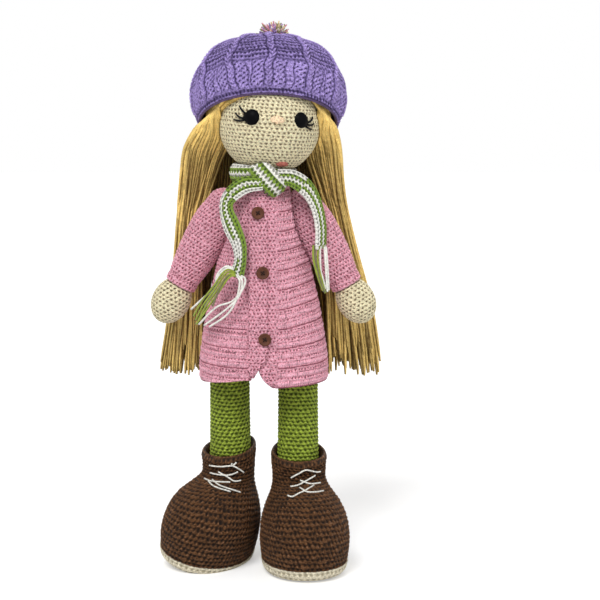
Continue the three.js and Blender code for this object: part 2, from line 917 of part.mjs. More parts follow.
const ankleShare = 0.8;
const ankleHeight = rimHeight * ankleShare;
const feet = {
  left: { sign: 1, lean: strideAngle, toeOut: toeOutLeft, roll: footRollLeft },
  right: { sign: -1, lean: -strideAngle, toeOut: toeOutRight, roll: footRollRight },
};
for (const [side, { sign, lean, toeOut, roll }] of Object.entries(feet)) {
  const half = new THREE.Group();
  half.scale.x = sign;
  doll.add(half);

  const leg = new THREE.Group();
  leg.position.set(hipHalfSpacing, 0, hipHeight);
  leg.rotation.x = -lean;
  half.add(leg);
  addPiece(leg, `leg_${side}`, yarn.leg, solidOf(limbForm(legRows)));

  // The boot stands upright where the leaning leg reaches its ankle.
  const ankleBack = -(hipHeight - ankleHeight) * Math.tan(lean);
  const boot = new THREE.Group();
  boot.position.set(hipHalfSpacing, ankleBack, 0);
  boot.rotation.z = toeOut;
  half.add(boot);
  leg.updateMatrix();
  boot.updateMatrix();
  const legInBoot = boot.matrix.clone().invert().multiply(leg.matrix);
  const legRoom = movedSolid(limbForm(legRows, seam), legInBoot);
  const mouthRows = legRows.filter(([distance]) => distance > 0 && distance < legLength - toeRoom);
  const mouth = movedSolid(limbForm(mouthRows, bootMouthGap), legInBoot).subtract(
    solidOf(belowCutter(rimHeight - bootMouthDepth)),
  );

  const whole = solidOf(bootForm(roll));
  const upper = whole
    .subtract(footSlab(-overrun, soleDepth + seam / 2, roll))
    .subtract(solidOf(insoleForm(roll, seam)))
    .subtract(legRoom)
    .subtract(mouth);
  const sole = whole
    .intersect(footSlab(-overrun, soleDepth - seam / 2, roll))
    .subtract(solidOf(belowCutter(0)));
  addPiece(boot, `boot_upper_${side}`, yarn.boot, upper);
  addPiece(boot, `boot_sole_${side}`, yarn.sole, sole);
  addPiece(boot, `insole_${side}`, insoleBoard, solidOf(insoleForm(roll)));
  addPiece(boot, `laces_${side}`, yarn.white, laceSolid(roll));
}

// The place of something on the face: its own Z points out of the head.
const faceMatrix = new THREE.Matrix4()
  .makeRotationZ(faceTurn)
  .multiply(new THREE.Matrix4().makeRotationY(faceRoll));
function onFace(turn, lift, outward = 0) {
  const place = new THREE.Vector3(
    headRadius * Math.sin(turn) * Math.cos(lift),
    -headRadius * Math.cos(turn) * Math.cos(lift),
    headHalfHeight * Math.sin(lift),
  );
  const facing = new THREE.Vector3(
    place.x / headRadius ** 2,
    place.y / headRadius ** 2,
    place.z / headHalfHeight ** 2,
  ).normalize();
  const across = new THREE.Vector3(0, 0, 1).cross(facing).normalize();
  const up = new THREE.Vector3().crossVectors(facing, across);
  place.addScaledVector(facing, outward);
  return faceMatrix
    .clone()
    .multiply(new THREE.Matrix4().makeBasis(across, up, facing).setPosition(place));
}

function placed(mesh, matrix) {
  mesh.applyMatrix4(matrix);
  return mesh;
}

// Safety eyes: a dome on a post, and a washer that locks it inside the head
const eyeStacks = 5;
function eyeSolid() {
  const dome = Array.from({ length: eyeStacks + 1 }, (unused, i) => {
    const angle = ((Math.PI / 2) * i) / eyeStacks;
    return new THREE.Vector2(eyeRadius * Math.cos(angle), eyeHeight * Math.sin(angle));
  });
  const outline = [
    new THREE.Vector2(0, -eyePostLength),
    new THREE.Vector2(eyePostRadius, -eyePostLength),
    new THREE.Vector2(eyePostRadius, 0),
    ...dome,
  ];
  outline[outline.length - 1].x = 0;
  const turned = new THREE.LatheGeometry(outline, smallFacets);
  turned.rotateX(Math.PI / 2);
  return solidOf(turned);
}
function washerForm(extra = 0) {
  const outline = [
    [eyePostRadius + seam - extra, -extra],
    [washerRadius + extra, -extra],
    [washerRadius + extra, washerThickness + extra],
    [eyePostRadius + seam - extra, washerThickness + extra],
    [eyePostRadius + seam - extra, -extra],
  ].map(([reach, rise]) => new THREE.Vector2(reach, rise));
  const turned = new THREE.LatheGeometry(outline, smallFacets);
  turned.rotateX(Math.PI / 2);
  turned.translate(0, 0, -washerDepth);
  return turned;
}
function eyeRoom() {
  const post = new THREE.CylinderGeometry(
    eyePostRadius + seam,
    eyePostRadius + seam,
    eyePostLength + seam + overrun / 2,
    smallFacets,
  );
  post.rotateX(Math.PI / 2);
  post.translate(0, 0, (overrun / 2 - eyePostLength - seam) / 2);
  const pocket = new THREE.CylinderGeometry(
    washerRadius + seam,
    washerRadius + seam,
    washerThickness + 2 * seam,
    smallFacets,
  );
  pocket.rotateX(Math.PI / 2);
  pocket.translate(0, 0, washerThickness / 2 - washerDepth);
  return [post, pocket];
}

// The eye's flat back stands clear of the curved face.
const eyeSink = eyeRadius ** 2 / (2 * headRadius);
const faceSpots = { left: 1, right: -1 };
let head = solidOf(headForm);
const boreInHead = new THREE.Matrix4().makeTranslation(headPlace.clone().negate());
head = head.subtract(movedSolid(dowelBore, boreInHead));
const dimple = new THREE.CylinderGeometry(
  eyeRadius + seam,
  eyeRadius + seam,
  overrun,
  smallFacets,
);
dimple.rotateX(Math.PI / 2);
dimple.translate(0, 0, overrun / 2 - seam);
for (const sign of Object.values(faceSpots)) {
  const spot = onFace(sign * eyeSpread, eyeLift, -eyeSink);
  for (const room of [...eyeRoom(), dimple]) head = head.subtract(movedSolid(room, spot));
}
addPiece(headGroup, "head", yarn.skin, head);

// Three lashes fan out from the outer side of each eye, joined by a short
// stitch along the eye's edge.
const lashAngles = [38 * degree, 10 * degree, -18 * degree];
const lashReach = eyeRadius + seam + lashWidth / 2;

// A flat strip of thread on the face, through places given round an eye.
function threadStrip(sign, places, width) {
  const sections = places.map(({ reach, angle, taper }) => {
    const half = (width / 2) * taper;
    const corner = (side, out) => {
      const across = reach * Math.cos(angle) + side.x * half;
      const up = reach * Math.sin(angle) + side.y * half;
      const turn = sign * (eyeSpread + across / (headRadius * Math.cos(eyeLift)));
      return new THREE.Vector3(0, 0, out).applyMatrix4(
        onFace(turn, eyeLift + up / headHalfHeight),
      );
    };
    const first = places[0];
    const last = places[places.length - 1];
    const along = new THREE.Vector2(
      last.reach * Math.cos(last.angle) - first.reach * Math.cos(first.angle),
      last.reach * Math.sin(last.angle) - first.reach * Math.sin(first.angle),
    ).normalize();
    const right = new THREE.Vector2(along.y, -along.x);
    const left = right.clone().negate();
    const top = seam + lashThickness;
    return [corner(left, seam), corner(right, seam), corner(right, top), corner(left, top)];
  });
  return solidOf(capped(sections));
}

function lashSolid(sign) {
  const rootSteps = 3;
  const firstAngle = lashAngles[lashAngles.length - 1];
  const lastAngle = lashAngles[0];
  const root = Array.from({ length: rootSteps + 1 }, (unused, i) => ({
    reach: lashReach,
    angle: THREE.MathUtils.lerp(firstAngle, lastAngle, i / rootSteps),
    taper: 1,
  }));
  const strips = lashAngles.map((angle) =>
    threadStrip(
      sign,
      [
        { reach: lashReach, angle, taper: 1 },
        { reach: lashReach + lashLength, angle: angle * lashFanShare, taper: lashTipShare },
      ],
      lashWidth,
    ),
  );
  return strips.reduce((joined, strip) => joined.add(strip), threadStrip(sign, root, lashWidth));
}

for (const [side, sign] of Object.entries(faceSpots)) {
  const spot = onFace(sign * eyeSpread, eyeLift, -eyeSink);
  placed(addPiece(headGroup, `eye_${side}`, eyeGloss, eyeSolid()), spot);
  placed(
    addPiece(headGroup, `eye_washer_${side}`, washerPlastic, solidOf(washerForm())),
    spot,
  );
  addPiece(headGroup, `lashes_${side}`, yarn.thread, lashSolid(sign));
}

// Nose and mouth: low pads that follow the head's curve
function facePad(halfWidth, halfHeight, height, turn, lift) {
  const facets = 12;
  const stacks = 3;
  const ringAt = (reach, out) =>
    Array.from({ length: facets }, (unused, j) => {
      const angle = (2 * Math.PI * j) / facets;
      const across = reach * halfWidth * Math.cos(angle);
      const up = reach * halfHeight * Math.sin(angle);
      return new THREE.Vector3(0, 0, out).applyMatrix4(
        onFace(turn + across / (headRadius * Math.cos(lift)), lift + up / headHalfHeight),
      );
    });
  const rings = [ringAt(1, -height)];
  for (let i = 0; i <= stacks; i++) {
    const angle = ((Math.PI / 2) * i) / (stacks + 1);
    rings.push(ringAt(Math.cos(angle), seam + height * Math.sin(angle)));
  }
  return solidOf(capped(rings)).subtract(solidOf(headClearance));
}
addPiece(
  headGroup,
  "nose",
  yarn.skin,
  facePad(noseHalfWidth, noseHalfHeight, noseHeight, 0, noseLift),
);

// Hair cap: a layer over the back of the head, behind a sloping hairline
const capRadius = headRadius + seam + hairCapThickness;
const capHalfHeight = headHalfHeight + seam + hairCapThickness;
const capForm = ballForm(capRadius, capHalfHeight, neckHoleAngle, crownAngle, headStacks);
const capGuard = ballForm(
  capRadius + seam,
  capHalfHeight + seam,
  neckHoleAngle,
  crownAngle,
  headStacks,
);
const hairCapShare = 0.72;
const hairline = new THREE.BoxGeometry(2 * overrun, overrun, 2 * overrun);
hairline.translate(0, -overrun / 2, 0);
hairline.rotateX(hairlineSlope);
hairline.translate(0, -hairlineForward, hairlineHeight);
hairline.rotateZ(faceTurn);
const hairCap = solidOf(capForm)
  .subtract(solidOf(headClearance))
  .subtract(solidOf(hairline))
  .subtract(solidOf(belowCutter(-headHalfHeight * hairCapShare)));
addPiece(headGroup, "hair_cap", yarn.hair, hairCap);

// Beret: rings from its rim to its crown, with shallow ribs. Rows hold the
// rise and backward shift of each ring, its three reaches and its tilt, in
// shares of the beret's height, reaches and tilt.
const beretGroup = new THREE.Group();
beretGroup.position.set(-beretSideShift, beretBackShift, 0);
headGroup.add(beretGroup);
const beretShares = [
  [0, 0, 0.93, 0.9, 0.965, 1],
  [0.19, 0.05, 0.995, 0.99, 1, 0.98],
  [0.4, 0.1, 1, 1, 0.96, 0.93],
  [0.61, 0.15, 0.925, 0.93, 0.85, 0.87],
  [0.785, 0.2, 0.78, 0.78, 0.68, 0.8],
  [0.91, 0.24, 0.57, 0.56, 0.47, 0.72],
  [0.98, 0.265, 0.33, 0.33, 0.27, 0.66],
  [1, 0.28, 0.1, 0.1, 0.09, 0.62],
];
const beretFacets = 36;
const beretStacks = 9;
const liningStacks = 7;
function beretRings(inset, stacks) {
  return blended(beretShares, stacks).map(([rise, shift, width, front, back, tilt]) => {
    const ring = ovalRing({
      y: shift * beretHeight,
      z: beretRimHeight + rise * (beretHeight - inset),
      width: width * beretHalfWidth - inset,
      front: front * beretFront - inset,
      back: back * beretBack - inset,
      tilt: tilt * beretTilt,
      facets: beretFacets,
    });
    const height = beretRimHeight + rise * beretHeight;
    const middle = new THREE.Vector3(0, shift * beretHeight, height);
    const swell = (Math.sin(Math.PI * rise) * beretRibHeight) / beretHalfWidth;
    return ring.map((point, j) => {
      const angle = (2 * Math.PI * j) / beretFacets;
      const rib = 1 + swell * Math.cos(beretRibs * angle);
      return point.sub(middle).multiplyScalar(rib).add(middle);
    });
  });
}
const innerRings = beretRings(beretThickness, liningStacks);
const beretMouth = innerRings[0].map((point) => {
  const down = new THREE.Vector3(0, -Math.sin(beretTilt), -Math.cos(beretTilt));
  return point.clone().addScaledVector(down, beretThickness);
});
const beretFrame = beretGroup.position.clone();
const headInBeret = new THREE.Matrix4().makeTranslation(beretFrame.clone().negate());
const beretSolid = solidOf(capped(beretRings(0, beretStacks)))
  .subtract(solidOf(capped([beretMouth, ...innerRings])))
  .subtract(movedSolid(capGuard, headInBeret));
addPiece(beretGroup, "beret", yarn.beret, beretSolid);

// Edging: a round cord sewn under the beret's rim
const rimRing = beretRings(beretThickness / 2, 1)[0];
const edgingDrop = new THREE.Vector3(0, -Math.sin(beretTilt), -Math.cos(beretTilt));
const rimMiddle = new THREE.Vector3();
const edgingSections = [...rimRing, rimRing[0]].map((point) => {
  const outward = point.clone().sub(rimMiddle).normalize();
  return Array.from({ length: cordFacets }, (unused, k) => {
    const angle = (2 * Math.PI * k) / cordFacets;
    return point
      .clone()
      .addScaledVector(edgingDrop, edgingRadius + seam + edgingRadius * Math.sin(angle))
      .addScaledVector(outward, edgingRadius * Math.cos(angle));
  });
});
const edging = solidOf(new LoftGeometry(edgingSections)).subtract(
  movedSolid(headClearance, headInBeret),
);
addPiece(beretGroup, "beret_edging", yarn.edging, edging);

// Pompom: a ball of cut yarn seated on the crown
const [crownRise, crownShift, , , , crownTilt] = beretShares[beretShares.length - 1];
const pompomSeatAngle = 30 * degree;
const pompomStacks = 7;
const pompomForm = ballForm(
  pompomRadius,
  pompomHalfHeight,
  pompomSeatAngle,
  crownAngle,
  pompomStacks,
  limbFacets,
);
const pompom = addPiece(beretGroup, "pompom", yarn.pompom, solidOf(pompomForm));
pompom.rotation.x = -crownTilt * beretTilt;
const crownTop = new THREE.Vector3(
  pompomSide,
  crownShift * beretHeight,
  beretRimHeight + crownRise * beretHeight,
);
const crownUp = new THREE.Vector3(
  0,
  Math.sin(crownTilt * beretTilt),
  Math.cos(crownTilt * beretTilt),
);
const pompomSeat = pompomHalfHeight * Math.cos(pompomSeatAngle) + seam;
pompom.position.copy(crownTop).addScaledVector(crownUp, pompomSeat);

// Hair stays below the rim's plane or within the rim's opening, so that the
// beret lifts straight off.
const liftRing = beretRings(beretThickness + 2 * seam, 1)[0].map((point) =>
  point.addScaledVector(edgingDrop, edgingRadius + seam),
);
const liftOpening = capped([
  liftRing.map((point) => point.clone().setZ(-overrun)),
  liftRing.map((point) => point.clone().setZ(overrun)),
]);
const aboveRim = new THREE.BoxGeometry(2 * overrun, 2 * overrun, overrun);
aboveRim.translate(0, 0, overrun / 2 - 2 * edgingRadius - 3 * seam);
aboveRim.rotateX(-beretTilt);
aboveRim.translate(0, 0, beretRimHeight);
const beretGuard = solidOf(aboveRim)
  .subtract(solidOf(liftOpening))
  .translate(beretFrame.toArray());

// Long hair: rows of [fall, width on the left, width on the right, depth,
// backward shift, thickness, and the angle round the back where it ends], as
// shares of the hair's length, half width, depth, thickness and reach.
const hairShares = [
  [0, 0.49, 0.49, 0.83, 0, 0.75, 1],
  [0.065, 0.58, 0.6, 0.94, 0, 0.85, 0.98],
  [0.13, 0.63, 0.7, 0.98, 0.02, 0.95, 0.96],
  [0.2, 0.67, 0.8, 0.95, 0.06, 1, 0.9],
  [0.28, 0.69, 0.84, 0.88, 0.15, 1, 0.84],
  [0.38, 0.72, 0.875, 0.8, 0.26, 1, 0.75],
  [0.5, 0.79, 0.91, 0.82, 0.3, 1, 0.68],
  [0.76, 0.95, 0.96, 0.92, 0.3, 1, 0.65],
  [1, 1, 1, 1, 0.3, 0.9, 0.64],
];
const hairReach = 106 * degree;
const hairStacks = 10;
function hairSolid(fromShare, toShare) {
  const across = 8;
  const rows = blended(hairShares, hairStacks);
  const sections = rows.map(([fall, leftWidth, rightWidth, depth, shift, thick, reach]) => {
    const outer = [];
    const inner = [];
    const waveHeight = hairWaveHeight * Math.min(1, fall / hairWaveStartShare);
    const from = fromShare(reach * hairReach);
    const to = toShare(reach * hairReach);
    for (let j = 0; j <= across; j++) {
      const angle = from + ((to - from) * j) / across;
      const width = angle > 0 ? leftWidth : rightWidth;
      const wave = waveHeight * Math.cos(hairWaves * angle);
      const point = (inset) =>
        new THREE.Vector3(
          (width * hairHalfWidth - inset) * Math.sin(angle),
          shift * hairDepth + (depth * hairDepth - inset) * Math.cos(angle),
          hairTop - fall * hairLength,
        );
      outer.push(point(-wave));
      inner.unshift(point(thick * hairThickness - wave));
    }
    return [...outer, ...inner];
  });
  return solidOf(capped(sections)).subtract(solidOf(capGuard)).subtract(beretGuard);
}
const hairParts = {
  hair_left: [() => hairParting + hairPartingGap, (reach) => reach],
  hair_back: [() => -hairParting, () => hairParting],
  hair_right: [(reach) => -reach, () => -hairParting - hairPartingGap],
};
for (const [name, [from, to]] of Object.entries(hairParts)) {
  addPiece(headGroup, name, yarn.hair, hairSolid(from, to));
}

// Mouth patch, half hidden by the scarf
addPiece(
  headGroup,
  "mouth",
  yarn.mouth,
  facePad(mouthHalfWidth, mouthHalfHeight, mouthHeight, mouthTurn, -mouthDrop),
);

// Scarf: a band round the neck, a crossing in front and two tails. It stays
// clear of the mouth wherever the head turns.
const faceRoom = ballForm(
  headRadius + mouthHeight + 2 * seam,
  headHalfHeight + mouthHeight + 2 * seam,
  neckHoleAngle,
  crownAngle,
  headStacks,
);
const guards = [
  coatRoom,
  movedSolid(faceRoom, headMatrix),
  coatTorsoRoom,
  ...sleeveGuard,
];
function cutBy(solid, cutters) {
  return cutters.reduce((left, cutter) => left.subtract(cutter), solid);
}

const wrapHeight = torsoTop - wrapHalfHeight + seam + wrapLift;
function wrapForm(extra = 0) {
  const steps = 8;
  const outline = Array.from({ length: steps + 1 }, (unused, i) => {
    const angle = (2 * Math.PI * i) / steps;
    return new THREE.Vector2(
      wrapRadius + (wrapHalfThickness + extra) * Math.cos(angle),
      (wrapHalfHeight + extra) * Math.sin(angle),
    );
  });
  outline[steps].copy(outline[0]);
  const turned = new THREE.LatheGeometry(outline, roundFacets);
  turned.rotateX(Math.PI / 2);
  turned.translate(0, 0, wrapHeight);
  return turned;
}
const wrap = cutBy(solidOf(wrapForm()), guards);
addPiece(torsoGroup, "scarf_wrap", yarn.scarf, wrap);
const wrapRoom = solidOf(wrapForm(seam));

const knotStacks = 6;
const knotForward = wrapRadius + wrapHalfThickness + knotHalfThickness;
const knotHeight = wrapHeight - wrapHalfHeight + knotLift;
function knotForm(extra = 0) {
  const form = ballForm(1, 1, crownAngle, crownAngle, knotStacks, limbFacets);
  form.scale(
    knotHalfWidth + extra,
    knotHalfThickness + extra,
    knotHalfHeight + extra,
  );
  form.rotateY(knotSlant);
  form.translate(knotSide, -knotForward, knotHeight);
  return form;
}
const knot = cutBy(solidOf(knotForm()), [...guards, wrapRoom]);
addPiece(torsoGroup, "scarf_knot", yarn.scarf, knot);
const knotRoom = solidOf(knotForm(seam));

// A tail: rows of [side, forward, height, width] in shares of the coat's half
// width, front reach and length above the hem, and of the scarf's width.
const tailRouteShares = {
  left: [
    [0.22, 0.64, 1.03, 0.8],
    [0.46, 0.6, 1.02, 0.9],
    [0.68, 0.53, 0.965, 1],
    [0.82, 0.5, 0.88, 1],
    [0.88, 0.5, 0.78, 1],
    [0.88, 0.5, 0.69, 1],
  ],
  right: [
    [0, 0.7, 1, 0.7],
    [-0.27, 0.7, 0.99, 0.9],
    [-0.5, 0.68, 0.93, 0.85],
    [-0.54, 0.73, 0.87, 0.85],
    [-0.46, 0.82, 0.795, 1],
    [-0.35, 0.89, 0.71, 0.8],
    [-0.33, 0.92, 0.63, 0.65],
    [-0.38, 0.93, 0.565, 0.8],
  ],
};
const tailSteps = 14;
const bandSectionShares = [
  [-1, 0],
  [-0.9, 0.5],
  [0.9, 0.5],
  [1, 0],
  [0.9, -0.5],
  [-0.9, -0.5],
];

// Frames down a tail: its middle, half width and three directions.
function tailFrames(route) {
  const path = blended(route, tailSteps).map(([side, forward, rise, width]) => ({
    point: new THREE.Vector3(
      side * coatHalfWidth,
      -forward * coatFront,
      hemHeight + rise * coatLength,
    ),
    half: (width * scarfWidth) / 2,
  }));
  return path.map(({ point, half }, i) => {
    const before = path[Math.max(0, i - 1)].point;
    const after = path[Math.min(tailSteps, i + 1)].point;
    const along = new THREE.Vector3().subVectors(after, before).normalize();
    const outward = new THREE.Vector3(point.x / coatHalfWidth, point.y / coatFront, 0);
    outward.addScaledVector(along, -outward.dot(along)).normalize();
    const across = new THREE.Vector3().crossVectors(outward, along);
    return { point, half, along, outward, across };
  });
}

function tailSolid(route) {
  const sections = tailFrames(route).map(({ point, half, outward, across }) =>
    bandSectionShares.map(([sideShare, depthShare]) =>
      point
        .clone()
        .addScaledVector(across, sideShare * half)
        .addScaledVector(outward, depthShare * scarfThickness),
    ),
  );
  return solidOf(capped(sections));
}

// Fringe: strands that fan out from a tail's end, joined by the row of knots
// that holds them. Ends are in the tail's own shares.
const fringeEndShares = {
  left: { side: 0.98, forward: 0.5, rise: 0.47, spread: 0.1 },
  right: { side: -0.97, forward: 0.62, rise: 0.3, spread: 0.2 },
};
const knotRowSteps = 2;
const strandSteps = 4;
function fringeSolid(side) {
  const frames = tailFrames(tailRouteShares[side]);
  const { point, half, along, across } = frames[tailSteps];
  const root = point.clone().addScaledVector(along, seam + fringeKnotRadius);
  const reach = half - fringeRadius;
  const rootAt = (place) => root.clone().addScaledVector(across, place * reach);
  const end = fringeEndShares[side];
  const middle = (fringeStrands - 1) / 2;
  const row = cordForm([rootAt(-1), root, rootAt(1)], fringeKnotRadius, knotRowSteps);
  let fringe = solidOf(row);
  for (let i = 0; i < fringeStrands; i++) {
    const place = (i - middle) / middle;
    const tip = new THREE.Vector3(
      (end.side + (end.spread * place) / 2) * coatHalfWidth,
      -end.forward * coatFront,
      hemHeight + (end.rise - (end.spread * (1 - Math.abs(place))) / 4) * coatLength,
    );
    const start = rootAt(place);
    const bend = start.clone().lerp(tip, 1 / 2);
    bend.z -= fringeSag;
    fringe = fringe.add(solidOf(cordForm([start, bend, tip], fringeRadius, strandSteps)));
  }
  return fringe;
}

for (const side of ["left", "right"]) {
  const tail = cutBy(tailSolid(tailRouteShares[side]), [...guards, wrapRoom, knotRoom]);
  addPiece(torsoGroup, `scarf_tail_${side}`, yarn.scarf, tail);
  const fringe = cutBy(fringeSolid(side), guards);
  addPiece(torsoGroup, `scarf_fringe_${side}`, yarn.white, fringe);
}

// The origin is the middle of the doll's footprint, on the floor.
doll.updateMatrixWorld(true);
const reachBox = new THREE.Box3().setFromObject(doll, true);
const footprint = reachBox.getCenter(new THREE.Vector3());
doll.position.set(-footprint.x, -footprint.y, -reachBox.min.z);

export default doll;
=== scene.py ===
"""A crocheted doll in coat, scarf, beret and laced boots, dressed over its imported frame."""

from functools import cache, partial
from math import asin, cos, pi, radians, sin, tan

import bpy
import numpy as np
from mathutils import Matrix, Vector


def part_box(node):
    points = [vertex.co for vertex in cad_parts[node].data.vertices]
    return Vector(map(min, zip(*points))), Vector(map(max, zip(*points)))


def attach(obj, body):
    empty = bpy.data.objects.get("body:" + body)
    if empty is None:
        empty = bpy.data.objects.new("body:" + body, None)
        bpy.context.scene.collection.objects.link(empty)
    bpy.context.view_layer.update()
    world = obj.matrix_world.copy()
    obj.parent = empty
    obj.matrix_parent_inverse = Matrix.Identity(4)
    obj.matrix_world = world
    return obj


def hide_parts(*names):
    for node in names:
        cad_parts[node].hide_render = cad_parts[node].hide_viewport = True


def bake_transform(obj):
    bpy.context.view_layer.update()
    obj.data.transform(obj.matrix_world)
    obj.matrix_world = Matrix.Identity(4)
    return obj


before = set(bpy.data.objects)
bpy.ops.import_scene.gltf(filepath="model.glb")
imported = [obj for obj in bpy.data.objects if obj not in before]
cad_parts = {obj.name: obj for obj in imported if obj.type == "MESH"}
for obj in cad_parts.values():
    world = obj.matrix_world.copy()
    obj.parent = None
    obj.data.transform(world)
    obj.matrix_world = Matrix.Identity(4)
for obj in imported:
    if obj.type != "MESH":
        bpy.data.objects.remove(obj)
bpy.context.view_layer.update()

bl_info = {
    "name": "Crocheted doll",
    "version": (1, 0, 0),
    "blender": (4, 5, 0),
    "location": "View3D > Sidebar > Doll",
    "description": "Builds a crocheted doll with coat, scarf, beret and laced boots",
    "category": "Add Mesh",
}

# Sizes are in millimetres in the doll's own frame, and become metres in the mesh.
MM = 0.001
SEAM = 0.4
TURN = 2 * pi
SIGNS = {"left": 1, "right": -1}

# How far from its pole the last ring of a round form lies.
POLE = radians(4)

# The doll's frame stands a little off the part's origin. The neck dowel shows where.
DOWEL_PLACE = np.array([5.0, -1.0])
dowel_low, dowel_high = (np.array(corner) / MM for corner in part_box("neck_dowel"))
SHIFT = np.append((dowel_low + dowel_high)[:2] / 2 - DOWEL_PLACE, 0)

HIP_HEIGHT = 165.0
HIP_SPACING = 26.5
LEG_RADIUS = 15.0
ANKLE_RADIUS = 15.8
STRIDE = radians(4.6)
LEG_FOOT_HEIGHT = 36.0

# The leg's share of its length, and the share of the way from its hip's radius to its ankle's.
LEG_SHARES = [[0, 0], [0.3, 0.3], [0.6, 0.8], [0.9, 1]]

TORSO_BASE = HIP_HEIGHT + LEG_RADIUS * cos(radians(10)) + 2 * SEAM
TORSO_LENGTH = 123.0
TORSO_TOP = TORSO_BASE + TORSO_LENGTH
TORSO_REACH = (37.0, 34.0, 32.0)
TORSO_SHARES = [
    [0, 0.66, 0.68, 0.68],
    [0.035, 0.92, 0.9, 0.9],
    [0.11, 1, 1, 1],
    [0.24, 0.965, 0.97, 0.95],
    [0.39, 0.87, 0.9, 0.87],
    [0.53, 0.79, 0.85, 0.83],
    [0.67, 0.745, 0.8, 0.78],
    [0.77, 0.69, 0.75, 0.74],
    [0.85, 0.575, 0.64, 0.65],
    [0.905, 0.42, 0.5, 0.5],
    [0.945, 0.33, 0.36, 0.38],
    [1, 0.32, 0.35, 0.37],
]

HEAD_RADIUS = 38.0
HEAD_HALF_HEIGHT = 37.0
HEAD_REACH = np.array([HEAD_RADIUS, HEAD_RADIUS, HEAD_HALF_HEIGHT])
NECK_HOLE = radians(18.5)
HEAD_MIDDLE = np.array([5.0, -1.0, TORSO_TOP + SEAM + HEAD_HALF_HEIGHT * cos(NECK_HOLE)])
FACE_TURN = radians(9.3)
FACE_ROLL = radians(3.9)
EYE_SPREAD = radians(29.5)
EYE_LIFT = radians(9)
EYE_RADIUS = 6.0
EYE_HEIGHT = 4.0
NOSE_LIFT = radians(8)
MOUTH_DROP = radians(48.5)
MOUTH_TURN = radians(17)

# Half width, half height and rise of the two embroidered patches.
NOSE_SIZE = (5.0, 2.3, 2.0)
MOUTH_SIZE = (5.4, 2.6, 0.9)

# Each lash: the angle round the eye at its root, the angle at its tip, and how far it reaches.
LASHES = {
    "left": [(-14, 12, 6.5), (-30, -10, 7.5), (-48, -30, 6.5)],
    "right": [(24, 31, 8), (-14, 8, 8.2), (-26, -11, 9)],
}

HAIR_TOP = 27.0
HAIR_LENGTH = 222.0
HAIR_HALF_WIDTH = 82.0
HAIR_DEPTH = 46.0
HAIR_PARTING = radians(38)
HAIR_REACH = radians(106)
HAIR_SHARES = [
    [0, 0.49, 0.49, 0.83, 0, 1],
    [0.065, 0.58, 0.6, 0.94, 0, 0.98],
    [0.13, 0.63, 0.7, 0.98, 0.02, 0.96],
    [0.2, 0.67, 0.8, 0.95, 0.06, 0.9],
    [0.28, 0.69, 0.84, 0.88, 0.15, 0.84],
    [0.38, 0.72, 0.875, 0.8, 0.26, 0.75],
    [0.5, 0.79, 0.91, 0.82, 0.3, 0.68],
    [0.76, 0.95, 0.96, 0.92, 0.3, 0.65],
    [1, 1, 1, 1, 0.3, 0.64],
]

# Where each side bunch meets the face and neck: fall, side share and forward share.
HAIR_FRONT_SHARES = [
    [0, 0.38, 0.44],
    [0.1, 0.46, 0.28],
    [0.2, 0.4, 0.16],
    [0.3, 0.32, -0.06],
    [0.4, 0.36, -0.44],
    [0.5, 0.42, -0.5],
    [0.6, 0.49, -0.54],
    [0.7, 0.56, -0.56],
    [0.8, 0.58, -0.58],
    [0.9, 0.6, -0.58],
    [1, 0.62, -0.58],
]
HAIR_BULGE = 5.0
HAIR_FLARE = 0.14

# Each bunch: its two edges and its count of strands. An edge marked True is a share of the rows' reach.
HAIR_PARTS = {
    "left": ((HAIR_PARTING, False), (1.0, True), 30),
    "back": ((-HAIR_PARTING, False), (HAIR_PARTING, False), 34),
    "right": ((-1.0, True), (-HAIR_PARTING, False), 30),
}

# Each layer: how far it lies in from the outside, and its strands' height in the yarn's colours, lower for
# the inner layers as painted shade under the outer strands.
HAIR_LAYERS = ((0, 1.0), (2.4, 0.75), (4.8, 0.6))
# The strands in front of the side bunches, in layers the same way, the inner one lower as painted shade.
HAIR_FRONT_LAYERS = ((0.0, 1.0), (3.0, 0.75))
HAIR_FRONT_COUNT = 21

BERET_MIDDLE = HEAD_MIDDLE + np.array([-1.0, 6.0, 0])
BERET_REACH = (57.5, 50.5, 60.0)
BERET_HEIGHT = 61.0
BERET_RIM = 1.5
BERET_TILT = radians(32)
BERET_WALL = 3.0
BERET_SHARES = [
    [0, 0, 0.93, 0.9, 0.965, 1],
    [0.19, 0.05, 0.995, 0.99, 1, 0.98],
    [0.4, 0.1, 1, 1, 0.96, 0.93],
    [0.61, 0.15, 0.925, 0.93, 0.85, 0.87],
    [0.785, 0.2, 0.78, 0.78, 0.68, 0.8],
    [0.91, 0.24, 0.57, 0.56, 0.47, 0.72],
    [0.98, 0.265, 0.33, 0.33, 0.27, 0.66],
    [1, 0.28, 0.1, 0.1, 0.09, 0.62],
]
BERET_RIBS = 12
BERET_RIB_TURN = radians(2)
EDGING_RADIUS = 1.4
EDGING_TWISTS = 42
POMPOM_RADIUS = 10.5
POMPOM_SIDE = 4.0
POMPOM_ENDS = 420
POMPOM_COLOURS = ("e0a9bd", "b493cf", "efe9dc", "8d8a5c", "d98f9d", "9a86b8", "e8cf9a")

HEM_HEIGHT = HIP_HEIGHT - 21
SKIRT_TOP = HEM_HEIGHT + 44
NECKLINE = TORSO_TOP - 6.6
COAT_LENGTH = NECKLINE - HEM_HEIGHT
COAT_REACH = (49.5, 45.0, 42.0)
COAT_WALL = 3.0

# Each row of the coat from hem to neckline: its share of the length, and its width, front reach and back
# reach as shares of the coat's reach.
COAT_SHARES = [
    [0, 1, 1, 1],
    [0.1, 0.995, 1, 0.98],
    [0.235, 0.94, 0.965, 0.93],
    [0.385, 0.86, 0.89, 0.86],
    [0.53, 0.757, 0.81, 0.79],
    [0.647, 0.69, 0.755, 0.75],
    [0.77, 0.64, 0.705, 0.71],
    [0.863, 0.59, 0.65, 0.66],
    [0.928, 0.5, 0.575, 0.59],
    [0.967, 0.395, 0.475, 0.49],
    [1, 0.33, 0.37, 0.4],
]

